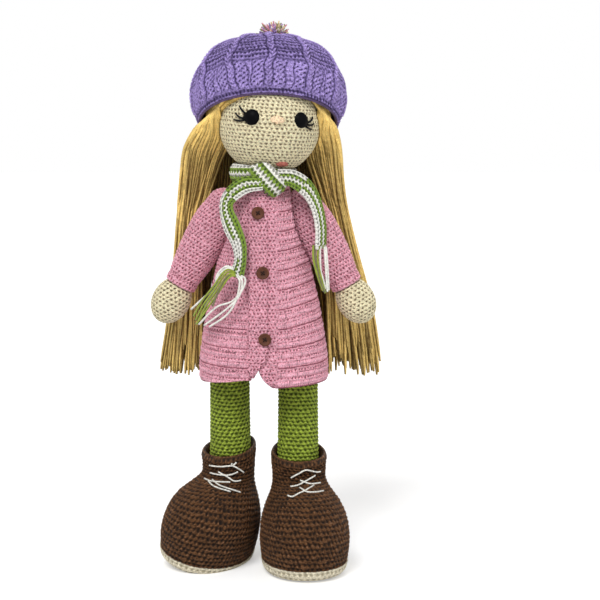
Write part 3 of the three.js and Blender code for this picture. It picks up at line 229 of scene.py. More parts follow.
# The coat's ridges: the height of a row, and the start, end and length of the two rows of posts in each five.
RIDGE_ROW = 2.9
POST_ROWS = ((0.3, 1.75, 1.45), (2.6, 4.0, 1.4))

BAND_WALL = 2.0
BAND_LAP_RIGHT = 9.3
BAND_LAP_LEFT = 10.2
BAND_EDGE = 3.5

# Each band: the power by which its slit opens, and how far it lies off the coat.
BAND_SLITS = {"right": (0.9, BAND_WALL), "left": (3, 0.25)}
SLIT_HEIGHT = 22.0
RIGHT_HEM_RISE = 5.0
RIGHT_HEM_LIFT = 6.0
BUTTON_RADIUS = 4.9
BUTTON_SHARES = {"top": (-0.36, 0.853), "middle": (0.03, 0.565), "bottom": (0.19, 0.245)}

# The button's outline from its back round its rim to its middle: reach and rise.
BUTTON_PROFILE = [
    (0.6, 0.0), (3.9, 0.0), (4.5, 0.35), (4.85, 1.0), (4.85, 1.6), (4.45, 2.15), (4.0, 2.3), (3.6, 2.1),
    (3.2, 1.65), (2.6, 1.5), (1.4, 1.45), (0.5, 1.45),
]

SHOULDER_WIDTH = 30.0
SHOULDER_HEIGHT = TORSO_TOP - 26.6
ARM_SPLAY = radians(29.5)
SLEEVE_LENGTH = 63.0
SLEEVE_RADIUS = 16.4
SLEEVE_WALL = 2.8
SLEEVE_SHARES = [[0, 0.84], [0.25, 1], [0.6, 0.96], [0.88, 0.82], [1, 0.73]]
CUFF_LENGTH = 6.0
CUFF_WALL = 3.2

# The sleeve's inner side at its mouth: distance back from the mouth, and distance off the wrist.
SLEEVE_MOUTH = ((14, -3), (12, 1.5), (5, 1.0), (0, 0.8))

# Width of a stitch and height of a row.
SLEEVE_GAUGE = (3.0, 3.0)
CUFF_GAUGE = (3.0, 2.7)
SOLE_GAUGE = (4.4, 4.2)

HAND_RADIUS = 14.4
HAND_HALF_LENGTH = 18.5
WRIST_RADIUS = 8.4

TOE_REACH = 66.0
HEEL_REACH = 25.0
BOOT_HALF_WIDTH = 33.5
RIM_HEIGHT = 92.0
SOLE_DEPTH = 9.5

# Each leg's angle forward at rest, how far its toe turns out, and how far its boot rolls over.
FEET = {"left": (STRIDE, radians(11), 0.0), "right": (-STRIDE, radians(35), radians(14))}
BOOT_SHARES = [
    [0.8, 0, 0.72, 0, 0.76],
    [0.92, 0.04, 0.9, 0.035, 0.9],
    [0.975, 0.16, 0.98, 0.11, 0.965],
    [1, 0.315, 1, 0.22, 1],
    [0.93, 0.5, 0.96, 0.35, 0.965],
    [0.76, 0.635, 0.88, 0.475, 0.84],
    [0.53, 0.7, 0.81, 0.6, 0.68],
    [0.35, 0.735, 0.78, 0.72, 0.61],
    [0.315, 0.8, 0.8, 0.86, 0.615],
    [0.325, 0.855, 0.83, 1, 0.635],
]
EGG_SHARE = 0.14
LACE_RADIUS = 0.62

# Each lace on its boot: places up the boot and angles round it.
LACE_ROUTES = {
    "left": [
        [(0.85, -0.4), (0.915, -0.17), (0.985, 0.05), (0.955, 0.24), (0.915, 0.44), (0.905, 0.6)],
        [(0.735, -0.45), (0.755, -0.22), (0.81, 0.06), (0.87, 0.39)],
        [(0.825, -0.115), (0.775, 0.14), (0.765, 0.32), (0.765, 0.57)],
        [(0.63, -0.55), (0.62, -0.42), (0.65, -0.24), (0.68, -0.04), (0.745, 0.29)],
        [(0.72, -0.17), (0.685, -0.09), (0.66, 0.01), (0.655, 0.22), (0.66, 0.5)],
    ],
    "right": [
        [(0.95, 0.15), (0.955, -0.22), (0.96, -0.63), (0.9, -0.87), (0.84, -1.11)],
        [(0.96, -0.63), (0.98, -0.64), (1.0, -0.65)],
        [(0.965, -0.68), (0.98, -0.74), (1.0, -0.8)],
        [(0.835, 0.12), (0.828, -0.15), (0.825, -0.43), (0.835, -0.65), (0.86, -0.87)],
        [(0.865, -0.19), (0.81, -0.5), (0.75, -0.83), (0.755, -1.06)],
        [(0.745, 0.2), (0.735, 0.05), (0.725, -0.15), (0.73, -0.43), (0.735, -0.72)],
        [(0.75, -0.1), (0.68, -0.54), (0.63, -1.2)],
        [(0.72, -0.05), (0.665, -0.4), (0.63, -0.9)],
    ],
}

# The boot's lip over its rim: share of the rim's reach, rise, and further rise in front.
BOOT_LIP = [
    (1.0, 0.9, 0.8), (0.98, 1.7, 1.6), (0.95, 2.2, 2.0), (0.91, 2.3, 2.2), (0.87, 1.7, 2.2), (0.84, 0.5, 2.0),
    (0.82, -1.5, 1.5), (0.81, -5, 0), (0.8, -9, 0), (0.2, -10, 0),
]

SCARF_WIDTH = 14.0
SCARF_WALL = 3.0
WRAP_RADIUS = 20.5
WRAP_HALF = (4.8, 7.5)
WRAP_LIFT = 6.0
WRAP_HEIGHT = TORSO_TOP - WRAP_HALF[1] + SEAM + WRAP_LIFT
KNOT_SIZE = (15.0, 4.4, 10.0)
KNOT_SLANT = radians(48)
KNOT_SIDE = 4.0
KNOT_LIFT = 5.5
TAIL_SHARES = {
    "left": [
        [0.22, 0.64, 1.03, 0.8],
        [0.46, 0.6, 1.02, 0.9],
        [0.68, 0.53, 0.965, 1],
        [0.82, 0.5, 0.88, 1],
        [0.88, 0.5, 0.78, 1],
        [0.88, 0.5, 0.69, 1],
    ],
    "right": [
        [0, 0.7, 1, 0.7],
        [-0.27, 0.7, 0.99, 0.9],
        [-0.5, 0.68, 0.93, 0.85],
        [-0.54, 0.73, 0.87, 0.85],
        [-0.46, 0.82, 0.795, 1],
        [-0.35, 0.89, 0.71, 0.8],
        [-0.33, 0.92, 0.63, 0.65],
        [-0.38, 0.93, 0.565, 0.8],
    ],
}

# Fringe strands: the yarn's number, and the side, distance in front and height of their points.
FRINGE_ROUTES = {
    "left": [
        (0, [(47.5, 26, 249), (48.8, 27, 233), (49.6, 27, 216)]),
        (0, [(46.4, 26, 249), (47.4, 28, 233), (48.6, 28, 215)]),
        (0, [(43, 25, 249), (43.5, 27, 232), (45.3, 28, 225), (47.4, 27, 217)]),
        (1, [(38, 26, 250), (38, 29, 240), (41, 30, 228), (45.3, 29, 216)]),
        (2, [(39.4, 26, 250), (39.8, 29, 238), (42.4, 30, 226), (46.2, 29, 215)]),
        (1, [(41.6, 25, 250), (41.4, 28, 238), (43.6, 29, 227), (47, 28, 214)]),
    ],
    "right": [
        (0, [(-21.5, 43, 235), (-27, 42, 236), (-33.4, 40, 230), (-36.1, 38, 219.6),
            (-45.1, 34, 210.6), (-54, 30, 202)]),
        (0, [(-21, 43, 234), (-26.5, 43, 234.6), (-32.4, 41, 229), (-35, 39, 219), (-41, 36, 210),
            (-43.5, 33, 203)]),
        (1, [(-20.5, 43, 232), (-27, 43, 233.5), (-36.8, 40, 220.4), (-45.9, 35, 208.3), (-52, 30, 197)]),
        (1, [(-20, 43, 230.5), (-26.5, 43, 231.5), (-35.6, 41, 218.6), (-44.2, 36, 206.5),
            (-50.4, 31, 194)]),
        (1, [(-20, 43, 229.5), (-25.5, 44, 229.8), (-34.4, 41, 217), (-42.6, 37, 205.2),
            (-48.8, 32, 192.5)]),
        (1, [(-19.5, 43, 229), (-24.6, 44, 228.2), (-33.2, 42, 215.8), (-41.2, 38, 204), (-50, 32, 191)]),
        (2, [(-19.5, 43, 228.5), (-25, 44, 230), (-31.6, 43, 219.6), (-37.3, 41, 206)]),
        (0, [(-17, 43, 231), (-12.6, 44, 226.4), (-15.4, 45, 218), (-22.9, 43, 209.8),
            (-34.8, 40, 204.9), (-48, 33, 191)]),
        (0, [(-18, 43, 230), (-14.8, 45, 225), (-17.4, 45, 214), (-27, 43, 204), (-44, 35, 190.5)]),
        (0, [(-18.6, 43, 229), (-16.7, 45, 224), (-19.7, 45, 210.6), (-27, 43, 199.4), (-40, 37, 189.8)]),
    ],
}

CAMERA_PLACE = (28.0, -1300.0, 400.0)
CAMERA_PITCH = radians(8.55)
CAMERA_LENS = 102.5
CAMERA_SENSOR = 36.0

# The light: each sun's name, the direction it comes from, its spread and its strength.
SUNS = (
    ("key", (-0.4, -1.0, 1.25), radians(26), 2.0),
    ("fill", (0.9, -1.0, 0.35), radians(60), 0.75),
    ("back", (0.3, 1.0, 0.7), radians(40), 0.8),
)
SKY_LIGHT = 0.5
FLOOR_GLOW = 0.3
FLOOR_REACH = 4.0

# Finishes of the inner parts: colour, roughness, scale and strength of the grain, and their nodes.
INNER_FINISHES = (
    ("dowel_wood", "c9a777", 0.6, 180, 0.05, ("neck_dowel",)),
    ("washer_plastic", "e8e6df", 0.45, 500, 0.01, ("eye_washer_left", "eye_washer_right")),
    ("insole_board", "b9a27c", 0.85, 350, 0.05, ("insole_left", "insole_right")),
)


# Shapes


def blended(rows, place):
    """Rows blended at places from 0 to 1 by a cubic through each four neighbours.

    b + t/2 (c - a + t (2a - 5b + 4c - d + t (3(b - c) + d - a))), with a to d the rows
    round the place and t the share of the way from b to c."""
    rows = np.asarray(rows, float)
    padded = np.concatenate([[2 * rows[0] - rows[1]], rows, [2 * rows[-1] - rows[-2]]])
    spot = np.clip(np.asarray(place, float), 0, 1) * (len(rows) - 1)
    cell = np.minimum(spot.astype(int), len(rows) - 2)
    t = (spot - cell)[..., None]
    a, b, c, d = (padded[cell + k] for k in range(4))
    return b + t / 2 * (c - a + t * (2 * a - 5 * b + 4 * c - d + t * (3 * (b - c) + d - a)))


def columns(table, place):
    """The columns of a table of rows, each blended at the places."""
    return np.moveaxis(blended(table, place), -1, 0)


def stacked(x, y, z):
    """Three arrays of any matching shapes as one array of points."""
    return np.stack(np.broadcast_arrays(x, y, z), -1)


def unit(vectors):
    """Vectors divided by their own lengths."""
    return vectors / np.maximum(np.linalg.norm(vectors, axis=-1, keepdims=True), 1e-9)


def circle(count):
    """Evenly spaced angles round a full turn."""
    return np.arange(count) * TURN / count


def finer_front(half, front, back):
    """Angles round a piece, with their own counts over its front, to a half angle each way, and behind."""
    return np.concatenate([np.linspace(-half, half, front), np.linspace(half, TURN - half, back)[1:-1]])


def smooth(t):
    """A smooth step of a share: 3 t squared less 2 t cubed."""
    return t * t * (3 - 2 * t)


def metres(x, y, z):
    """A place in the doll's own millimetres as the frame's metres."""
    return tuple((np.array([x, y, z]) + SHIFT) * MM)


def oval(width, front, back, angle):
    """An egg-shaped ring: width times sine across, front or back reach times cosine forwards."""
    forward = np.cos(angle)
    return width * np.sin(angle), -np.where(forward > 0, front, back) * forward


def ringed(distance, radius, angle):
    """Points round a limb's axis, a distance below its joint: the radius times sine and cosine."""
    return stacked(radius * np.sin(angle), -radius * np.cos(angle), -distance)


def disc(seat, across, up, outward, reach, rise, sides):
    """Rings round a seat: reach times cosine and sine along two directions, and rise along a third."""
    angle = circle(sides)
    reach, rise = reach[:, None], rise[:, None]
    return (seat + (reach * np.cos(angle))[..., None] * across + (reach * np.sin(angle))[..., None] * up
            + rise[..., None] * outward)


def lengths(points, axis):
    """Distance travelled along an axis of a grid of points, starting at zero."""
    steps = np.linalg.norm(np.diff(points, axis=axis), axis=-1)
    return np.concatenate([np.zeros_like(np.take(steps, [0], axis)), np.cumsum(steps, axis)], axis)


def even_places(surface, low, high, count):
    """Places evenly spaced along the mean length of a surface's columns, and that length."""
    dense = np.linspace(low, high, 160)
    mean = lengths(surface(dense[:, None], np.linspace(0, TURN, 24)[None, :]), 0).mean(1)
    return np.interp(np.linspace(0, mean[-1], count), mean, dense), mean[-1]


def normals(points, wrap=True):
    """Unit cross products of a grid's two central differences, turned to point away from its middle."""
    along = np.gradient(points, axis=0)
    across = np.roll(points, -1, 1) - np.roll(points, 1, 1) if wrap else np.gradient(points, axis=1)
    out = unit(np.cross(across, along))
    return -out if np.sum(out * (points - points.mean(1, keepdims=True))) < 0 else out


def strand(distance, half):
    """Height of a round strand: the root of 1 - (distance to its middle / its half width) squared."""
    return np.sqrt(np.clip(1 - (distance / half) ** 2, 0, 1))


def hashed(a, b):
    """An even random number for each pair of whole numbers: the share left over from a large sine."""
    return (np.sin(a * 12.9898 + b * 78.233) * 43758.5453) % 1


def vee(across, along, points=None, wide=1.15, tall=1.4, rough=0.6, seam=0.45, ply=0.08):
    """Height of a single crochet stitch, from 0 to 1.

    Rows of yarn run sideways and sway up and down as sines of the stitch count. In the
    middle of each row lies a seam, a bell curve of the height, and in each stitch a hollow:
    e to the minus of its sideways and upright shares cubed. Hollows are shifted, widened and
    raised a little at random, and lean with the height. Fine slanting ridges are the plies."""
    # The yarns paint low heights with shade and high ones with a highlight, so hollows and seams get painted
    # shade.
    sway = 0.07 * rough * (np.sin(across * 1.7 + along * 2.3) + np.sin(across * 0.61 + along * 1.1))
    rise = along + sway + 0.1 * np.cos(TURN * (across % 1 - 0.5))
    level = np.floor(rise)
    b = rise - level
    x = across + 0.5 * (level - np.floor(along))
    column = np.floor(x)
    shift, opening, lift, tone = (hashed(column + 3 * k, level + 7 * k) for k in range(4))
    a = x - column - 0.5 + 0.24 * rough * (shift - 0.5) + 0.35 * (b - 0.5)
    sideways = np.abs((a + 0.5) % 1 - 0.5) / ((0.2 + 0.1 * b) * wide * (0.75 + 0.5 * opening))
    upright = np.abs(b - 0.5 - 0.12 * rough * (lift - 0.5)) / (0.24 * tall * (0.8 + 0.4 * tone))
    hollow = 0.93 * np.exp(-(sideways**3) - upright**3)
    line = seam * np.exp(-(((b - 0.42) / (0.13 * tall)) ** 2))
    threads = 1 - ply + ply * np.cos(TURN * (2 * b + a + 0.3 * shift))
    return np.clip((1 - hollow) * (1 - line) * threads * (0.84 + 0.16 * tone), 0, 1)


# The same stitch in finer and thicker yarn: its gaps, how uneven it is, its seam and its plies.
skin_vee = partial(vee, wide=0.95, tall=1.1, rough=0.8, seam=0.22, ply=0.1)
coat_vee = partial(vee, wide=1.15, tall=1.35, rough=1.4, seam=0.32, ply=0.14)
leg_vee = partial(vee, wide=1.3, tall=1.65, rough=0.8, seam=0.6, ply=0.14)
boot_vee = partial(vee, wide=1.4, tall=1.75, rough=1.3, seam=0.6, ply=0.24)
beret_vee = partial(vee, wide=1.3, tall=1.5, rough=1.2, seam=0.45, ply=0.14)


def stitch_grid(points, wrap, stitch, row):
    """Stitch counts across and along a grid.

    Each row has the whole number of stitches that its own length at its middle holds, and
    starts half a stitch further round than the row below."""
    height = lengths(points, 0).mean(1)
    rows = max(1, round(height[-1] / row))
    along = height / height[-1] * rows
    ring = np.concatenate([points, points[:, :1]], 1) if wrap else points
    places = lengths(ring, 1)
    level = np.minimum(along.astype(int), rows - 1)
    middle = np.interp(np.arange(rows) + 0.5, along, places[:, -1])
    counts = np.maximum(3, np.rint(middle / stitch))
    across = places / places[:, -1:] * counts[level][:, None] + 0.5 * level[:, None]
    return across, np.broadcast_to(along[:, None], across.shape)


def knitted(surface, gauge, relief, low=0, high=1, wrap=True, arc=(0, TURN), fine=7, pattern=vee,
            angles=None):
    """A surface of place and angle covered in crochet: points, height and stitch counts.

    The gauge is a stitch's width and a row's height. Each point moves along the surface's
    normal by the relief's share times (height - 1/2)."""
    stitch, row = gauge
    _, reach = even_places(surface, low, high, 2)
    places, _ = even_places(surface, low, high, max(3, round(reach / row * fine)))
    if angles is None:
        probe = surface(np.linspace(low, high, 12)[:, None], np.linspace(*arc, 60)[None, :])
        count = max(6, round(lengths(probe, 1)[:, -1].max() / stitch * fine))
        angles = np.linspace(*arc, count, endpoint=not wrap)
    points = surface(places[:, None], angles[None, :])
    across, along = stitch_grid(points, wrap, stitch, row)
    cut = points.shape[1]
    height = pattern(across[:, :cut], along[:, :cut], points)
    lift = size("relief") * relief * (height - 0.5)
    return points + normals(points, wrap) * lift[..., None], height, np.stack([across, along], -1)


def with_rows(knit, rows, height, first=False):
    """A crocheted grid with plain rows of one height added after its last row, or before its first."""
    uv = knit[2][:1] if first else knit[2][-1:]
    added = rows, np.full(rows.shape[:2], height), np.repeat(uv, len(rows), 0)
    return [np.concatenate(pair) for pair in (zip(added, knit) if first else zip(knit, added))]


def stitch_tint(uv):
    """One random tint for each stitch."""
    return hashed(np.floor(uv[..., 0]), np.floor(uv[..., 1]))


def turned(points, angle, axis):
    """Points turned round a coordinate axis through the origin."""
    a, b = [(1, 2), (2, 0), (0, 1)][axis]
    out = np.array(points, float)
    out[..., a] = points[..., a] * cos(angle) - points[..., b] * sin(angle)
    out[..., b] = points[..., a] * sin(angle) + points[..., b] * cos(angle)
    return out


def added(name, data):
    """A new object of the scene that holds the data."""
    made = bpy.data.objects.new(name, data)
    bpy.context.scene.collection.objects.link(made)
    return made


class Piece:
    """A mesh in the making: points with a height and a tint, and faces with stitch places."""

    def __init__(self):
        self.points, self.height, self.tint, self.faces, self.uvs = [], [], [], [], []
        self.count = 0

    def add(self, points, height, tint, faces, uvs):
        """Adds points (n, 3) and lists of face arrays (m, k) with corner places (m, k, 2)."""
        self.points.append(points)
        self.height.append(height)
        self.tint.append(tint)
        self.faces += [face + self.count for face in faces]
        self.uvs += uvs
        self.count += len(points)
        return self

    def grid(self, points, height=0.5, uv=None, tint=0.5, ends="fan"):
        """Adds rows of points whose columns wrap round.

        The two ends are closed by a fan each, joined to each other, or zipped across where
        the columns fold back."""
        rows, cols = points.shape[:2]
        if uv is None:
            uv = stacked(np.arange(cols + 1)[None, :], np.arange(rows)[:, None], 0)[..., :2]
        if uv.shape[1] == cols:
            uv = np.concatenate([uv, uv[:, :1]], 1)
        i, j = np.meshgrid(np.arange(rows if ends == "join" else rows - 1), np.arange(cols), indexing="ij")
        corner_i = np.stack([i, i, i + 1, i + 1], -1).reshape(-1, 4) % rows
        corner_j = np.stack([j, j + 1, j + 1, j], -1).reshape(-1, 4)
        faces = [corner_i * cols + corner_j % cols]
        uvs = [uv[corner_i, corner_j]]
        flat = points.reshape(-1, 3)
        height, tint = (np.broadcast_to(value, points.shape[:2]).ravel() for value in (height, tint))
        around = np.arange(cols)
        half = np.arange(cols // 2 - 1)
        for row, turn in ((0, -1), (rows - 1, 1)):
            if ends == "fan":
                hub = np.full(cols, len(flat))
                flat = np.concatenate([flat, points[row].mean(0, keepdims=True)])
                height, tint = (np.append(value, value[row * cols]) for value in (height, tint))
                ring = [row * cols + around, row * cols + (around + 1) % cols]
                faces.append(np.stack([*ring[::turn], hub], -1))
                middle = np.broadcast_to(uv[row].mean(0), (cols, 2))
                pair = [uv[row, around], uv[row, around + 1]]
                uvs.append(np.stack([*pair[::turn], middle], 1))
            if ends == "zip":
                quad = np.stack([half, half + 1, cols - 2 - half, cols - 1 - half][::turn], -1)
                faces.append(row * cols + quad)
                uvs.append(uv[row, quad])
        return self.add(flat, height, tint, faces, uvs)

    def knit(self, points, height, uv, ends="fan"):
        """Adds a closed grid of crochet, with a random tint for each stitch."""
        return self.grid(points, height, uv, stitch_tint(uv)[:, :-1], ends)

    def tubes(self, paths, radius, sides=8, tint=0.5, height=0.7, reference=(0, 0, 1), twist=0.3, taper=1.0,
              outward=None):
        """Adds round strands along one path or more.

        Each ring is the path's point plus the radius times the cosine and sine of its angle
        along two directions square to the path. With outward directions given, the height
        falls off round each strand from its outer side, which the yarn's colours show as painted shade on the
        strand's flanks."""
        paths = np.reshape(paths, (-1, *np.shape(paths)[-2:]))
        strands, steps = paths.shape[:2]
        along = unit(np.gradient(paths, axis=1))
        side = unit(np.cross(np.broadcast_to(np.asarray(reference, float), along.shape), along))
        up = np.cross(along, side)
        radius = np.broadcast_to(np.asarray(radius, float), (strands, steps)).copy()
        radius[:, [0, -1]] *= taper
        angle = circle(sides)
        cosine, sine = np.cos(angle)[:, None], np.sin(angle)[:, None]
        thick = radius[:, :, None, None]
        ring = paths[:, :, None] + thick * cosine * side[:, :, None] + thick * sine * up[:, :, None]
        travelled = lengths(paths, 1)
        s, i, j = np.meshgrid(np.arange(strands), np.arange(steps - 1), np.arange(sides), indexing="ij")
        ci = np.stack([i, i, i + 1, i + 1], -1).reshape(-1, 4)
        cj = np.stack([j, j + 1, j + 1, j], -1).reshape(-1, 4)
        cs = np.repeat(s.reshape(-1, 1), 4, 1)
        body = (cs * steps + ci) * sides + cj % sides
        body_uv = np.stack([cj / sides, travelled[cs, ci] * twist], -1)
        start = np.arange(strands)[:, None] * steps * sides + np.arange(sides)[None, ::-1]
        finish = start[:, ::-1] + (steps - 1) * sides
        cap_uv = np.zeros((strands, sides, 2))
        tint = np.broadcast_to(np.reshape(tint, (-1, 1, 1)), ring.shape[:3]).ravel()
        height = np.full(ring.shape[:3], height)
        # Painted shade: a lower height on the flanks, away from the outward side.
        if outward is not None:
            facing = cosine * side[:, :, None] + sine * up[:, :, None]
            height = height * (0.5 + 0.5 * np.sum(facing * outward[:, :, None], -1)) ** 0.8
        return self.add(
            ring.reshape(-1, 3), height.ravel(), tint, [body, start, finish], [body_uv, cap_uv, cap_uv])

    def panel(self, outer, height, uv, inner):
        """Adds an open panel: a fine outer grid and a coarser inner one, joined along all four edges."""
        rows, cols = outer.shape[:2]
        few = len(inner)
        start = rows * cols
        i, j = np.meshgrid(np.arange(rows - 1) * cols, np.arange(cols - 1), indexing="ij")
        front = np.stack([i + j, i + j + 1, i + cols + j + 1, i + cols + j], -1)
        i, j = np.meshgrid(start + np.arange(few - 1) * cols, np.arange(cols - 1), indexing="ij")
        back = np.stack([i + j, i + cols + j, i + cols + j + 1, i + j + 1], -1)
        faces = [front.reshape(-1, 4), back.reshape(-1, 4)]
        j = np.arange(cols - 1)
        for row, far, turn in ((0, 0, 1), (rows - 1, few - 1, -1)):
            own, other = row * cols + j, start + far * cols + j
            faces.append(np.stack([own, other, other + 1, own + 1][::turn], -1))
        match = np.rint(np.arange(rows) * (few - 1) / (rows - 1)).astype(int)
        step = np.arange(rows - 1)
        jump = step[match[1:] != match[:-1]]
        for col, turn in ((0, 1), (cols - 1, -1)):
            own, other = step * cols + col, start + match[:-1] * cols + col
            faces.append(np.stack([own, own + cols, other][::turn], -1))
            own, other = (jump + 1) * cols + col, start + match[jump] * cols + col
            faces.append(np.stack([own, other + cols, other][::turn], -1))
        extra = few * cols
        places = np.concatenate([uv.reshape(-1, 2), np.zeros((extra, 2))])
        depth = np.concatenate([height.ravel(), np.full(extra, 0.35)])
        shade = np.concatenate([stitch_tint(uv).ravel(), np.full(extra, 0.5)])
        flat = np.concatenate([outer.reshape(-1, 3), inner.reshape(-1, 3)])
        return self.add(flat, depth, shade, faces, [places[face] for face in faces])

    def build(self, name, material, body=None, replaces=None, slot=None):
        """Writes the mesh in metres, turned outwards by the sign of its volume.

        It gets its body and the node that it replaces.
        Its slot argument is not used."""
        points = (np.concatenate(self.points) + SHIFT) * MM
        volume = 0.0
        for face in self.faces:
            for k in range(1, face.shape[1] - 1):
                a, b, c = points[face[:, 0]], points[face[:, k]], points[face[:, k + 1]]
                volume += np.einsum("ij,ij->", a, np.cross(b, c))
        if volume < 0:
            self.faces = [face[:, ::-1] for face in self.faces]
            self.uvs = [uv[:, ::-1] for uv in self.uvs]
        corners = np.concatenate([face.ravel() for face in self.faces])
        sizes = np.concatenate([np.full(len(face), face.shape[1]) for face in self.faces])
        mesh = bpy.data.meshes.new(name)
        mesh.vertices.add(len(points))
        mesh.vertices.foreach_set("co", points.astype(np.float32).ravel())
        mesh.loops.add(len(corners))
        mesh.loops.foreach_set("vertex_index", corners.astype(np.int32))
        mesh.polygons.add(len(sizes))
        mesh.polygons.foreach_set("loop_start", np.concatenate([[0], np.cumsum(sizes)[:-1]]).astype(np.int32))
        mesh.update(calc_edges=True)
        places = np.concatenate([uv.reshape(-1) for uv in self.uvs]).astype(np.float32)
        mesh.uv_layers.new(name="stitches").data.foreach_set("uv", places)
        # For the yarns, the height also picks the colour: painted shade where it is low and a painted
        # highlight where it is high.
        for key, values in (("height", self.height), ("tint", self.tint)):
            values = np.concatenate(values).astype(np.float32)
            mesh.attributes.new(key, "FLOAT", "POINT").data.foreach_set("value", values)
        mesh.validate()
        mesh.shade_smooth()
        mesh.materials.append(material)
        made = added(name, mesh)
        if replaces:
            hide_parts(replaces)
        if body:
            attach(made, body)
        return made


# Materials


def linear(code):
    """A six-digit colour code as linear red, green and blue."""
    shares = np.array([int(code[i : i + 2], 16) for i in (0, 2, 4)]) / 255
    return tuple(np.where(shares <= 0.04045, shares / 12.92, ((shares + 0.055) / 1.055) ** 2.4))


class Nodes:
    """Short words for the nodes of one material or world."""

    def __init__(self, owner, shader="Principled BSDF"):
        owner.use_nodes = True
        self.owner = owner
        self.tree = owner.node_tree
        self.shader = self.tree.nodes[shader]

    def node(self, kind, values={}, **settings):
        """A node with its settings, and its input sockets set or linked to the values."""
        made = self.tree.nodes.new(kind)
        for key, value in settings.items():
            setattr(made, key, value)
        for key, value in values.items():
            if isinstance(value, bpy.types.NodeSocket):
                self.tree.links.new(value, made.inputs[key])
            else:
                made.inputs[key].default_value = value
        return made

    def math(self, operation, *values):
        return self.node("ShaderNodeMath", dict(enumerate(values)), operation=operation).outputs[0]

    def attribute(self, name):
        return self.node("ShaderNodeAttribute", attribute_name=name).outputs["Fac"]

    def noise(self, scale, detail):
        place = self.node("ShaderNodeTexCoord").outputs["Object"]
        values = {"Scale": scale, "Detail": detail, "Vector": place}
        return self.node("ShaderNodeTexNoise", values).outputs["Fac"]

    def ramp(self, value, stops, interpolation="LINEAR"):
        made = self.node("ShaderNodeValToRGB", {"Fac": value})
        made.color_ramp.interpolation = interpolation
        elements = made.color_ramp.elements
        while len(elements) < len(stops):
            elements.new(0.5)
        for element, (place, colour) in zip(elements, stops):
            element.position = place
            element.color = (*colour, 1)
        return made.outputs["Color"]

    def mix(self, share, first, second, blend="MIX"):
        values = {0: share, 6: first, 7: second}
        return self.node("ShaderNodeMix", values, data_type="RGBA", blend_type=blend).outputs[2]

    def shaded(self, base, value, *stops):
        """A colour times the grey that a value picks from (place, grey) stops."""
        greys = self.ramp(value, [(place, (grey,) * 3) for place, grey in stops])
        return self.mix(1.0, base, greys, "MULTIPLY")

    def bump(self, height, distance, strength, below=None):
        values = {"Distance": distance, "Strength": strength, "Height": height}
        if below is not None:
            values["Normal"] = below
        return self.node("ShaderNodeBump", values).outputs["Normal"]

    def seen(self):
        """One for rays from the camera, off gloss and through glass, and nought for all others."""
        path = self.node("ShaderNodeLightPath").outputs
        share = path["Is Camera Ray"]
        for ray in ("Is Glossy Ray", "Is Transmission Ray"):
            share = self.math("MAXIMUM", share, path[ray])
        return share

    def finish(self, colour, normal, roughness, specular, **others):
        """Links the colour and normal, sets the shader's own sockets and gives back the material."""
        sockets = self.shader.inputs
        self.tree.links.new(colour, sockets["Base Color"])
        self.tree.links.new(normal, sockets["Normal"])
        values = {"Roughness": roughness, "Specular IOR Level": specular}
        values.update({name.replace("_", " "): value for name, value in others.items()})
        for name, value in values.items():
            sockets[name].default_value = value
        return self.owner


def shades(colour, dark, light, pale=0.0):
    """The colour in a stitch's hollow, on its flank and on its crown: a painted shade in the hollow, the
    yarn's own colour on the flank and a painted highlight on the crown.

    The hollow's painted shade is the colour to a power above one, which deepens its hue, and the crown's
    painted highlight is the colour times light, plus pale."""
    base = np.array(colour)
    return dark * base**1.7, base, np.minimum(base * light + pale, 0.95)


def yarn_material(name, colour, dark=0.35, light=1.15, roughness=0.62, sheen=0.15, vary=0.12, stitched=True,
                  shade_tint=(1, 1, 1), cover=0.6, speck=0.28, depth=0.0009, pale=0.0):
    """Spun yarn: painted shade in the stitches' hollows and a painted highlight on their crowns, with ply
    lines and loose fibres in relief.
    """
    nodes = Nodes(bpy.data.materials.new(name))
    height = nodes.attribute("height")
    hollow, flank, crown = shades(colour, dark, light, pale)
    # The painted shade in the hollows takes its own tint.
    hollow = hollow * shade_tint
    # The height picks the colour: painted shade in the hollows, the yarn's own colour on the flanks, a
    # painted highlight on the crowns.
    base = nodes.ramp(height, [(0, hollow), (cover * 0.6, (hollow + flank) / 2), (cover, flank), (1, crown)])
    drift = vary if stitched else 0.3 * vary
    base = nodes.shaded(base, nodes.noise(140, 3), (0.25, 1 - drift), (0.75, 1 + drift))
    fleck = nodes.noise(950, 1)
    base = nodes.shaded(base, fleck, (0.36, 1 - speck), (0.5, 1), (0.66, 1 + speck * 0.7))
    base = nodes.shaded(base, nodes.attribute("tint"), (0, 1 - vary), (1, 1 + vary))
    uv = nodes.node("ShaderNodeUVMap", uv_map="stitches").outputs["UV"]
    across, along = nodes.node("ShaderNodeSeparateXYZ", {0: uv}).outputs[:2]
    if stitched:
        side = nodes.math("ABSOLUTE", nodes.math("SUBTRACT", nodes.math("FRACT", across), 0.5))
        wave = nodes.math("MULTIPLY_ADD", along, 31.0, nodes.math("MULTIPLY", side, -38.0))
    else:
        wave = nodes.math("MULTIPLY_ADD", along, TURN, nodes.math("MULTIPLY", across, TURN * 3))
    relief = nodes.bump(height, depth, 1.0, nodes.bump(nodes.math("SINE", wave), 0.00016, 0.8))
    return nodes.finish(base, nodes.bump(fleck, 0.00035, 0.8, relief), roughness, 0.2,
                        Sheen_Weight=sheen, Sheen_Roughness=0.5, Sheen_Tint=(*crown, 1))


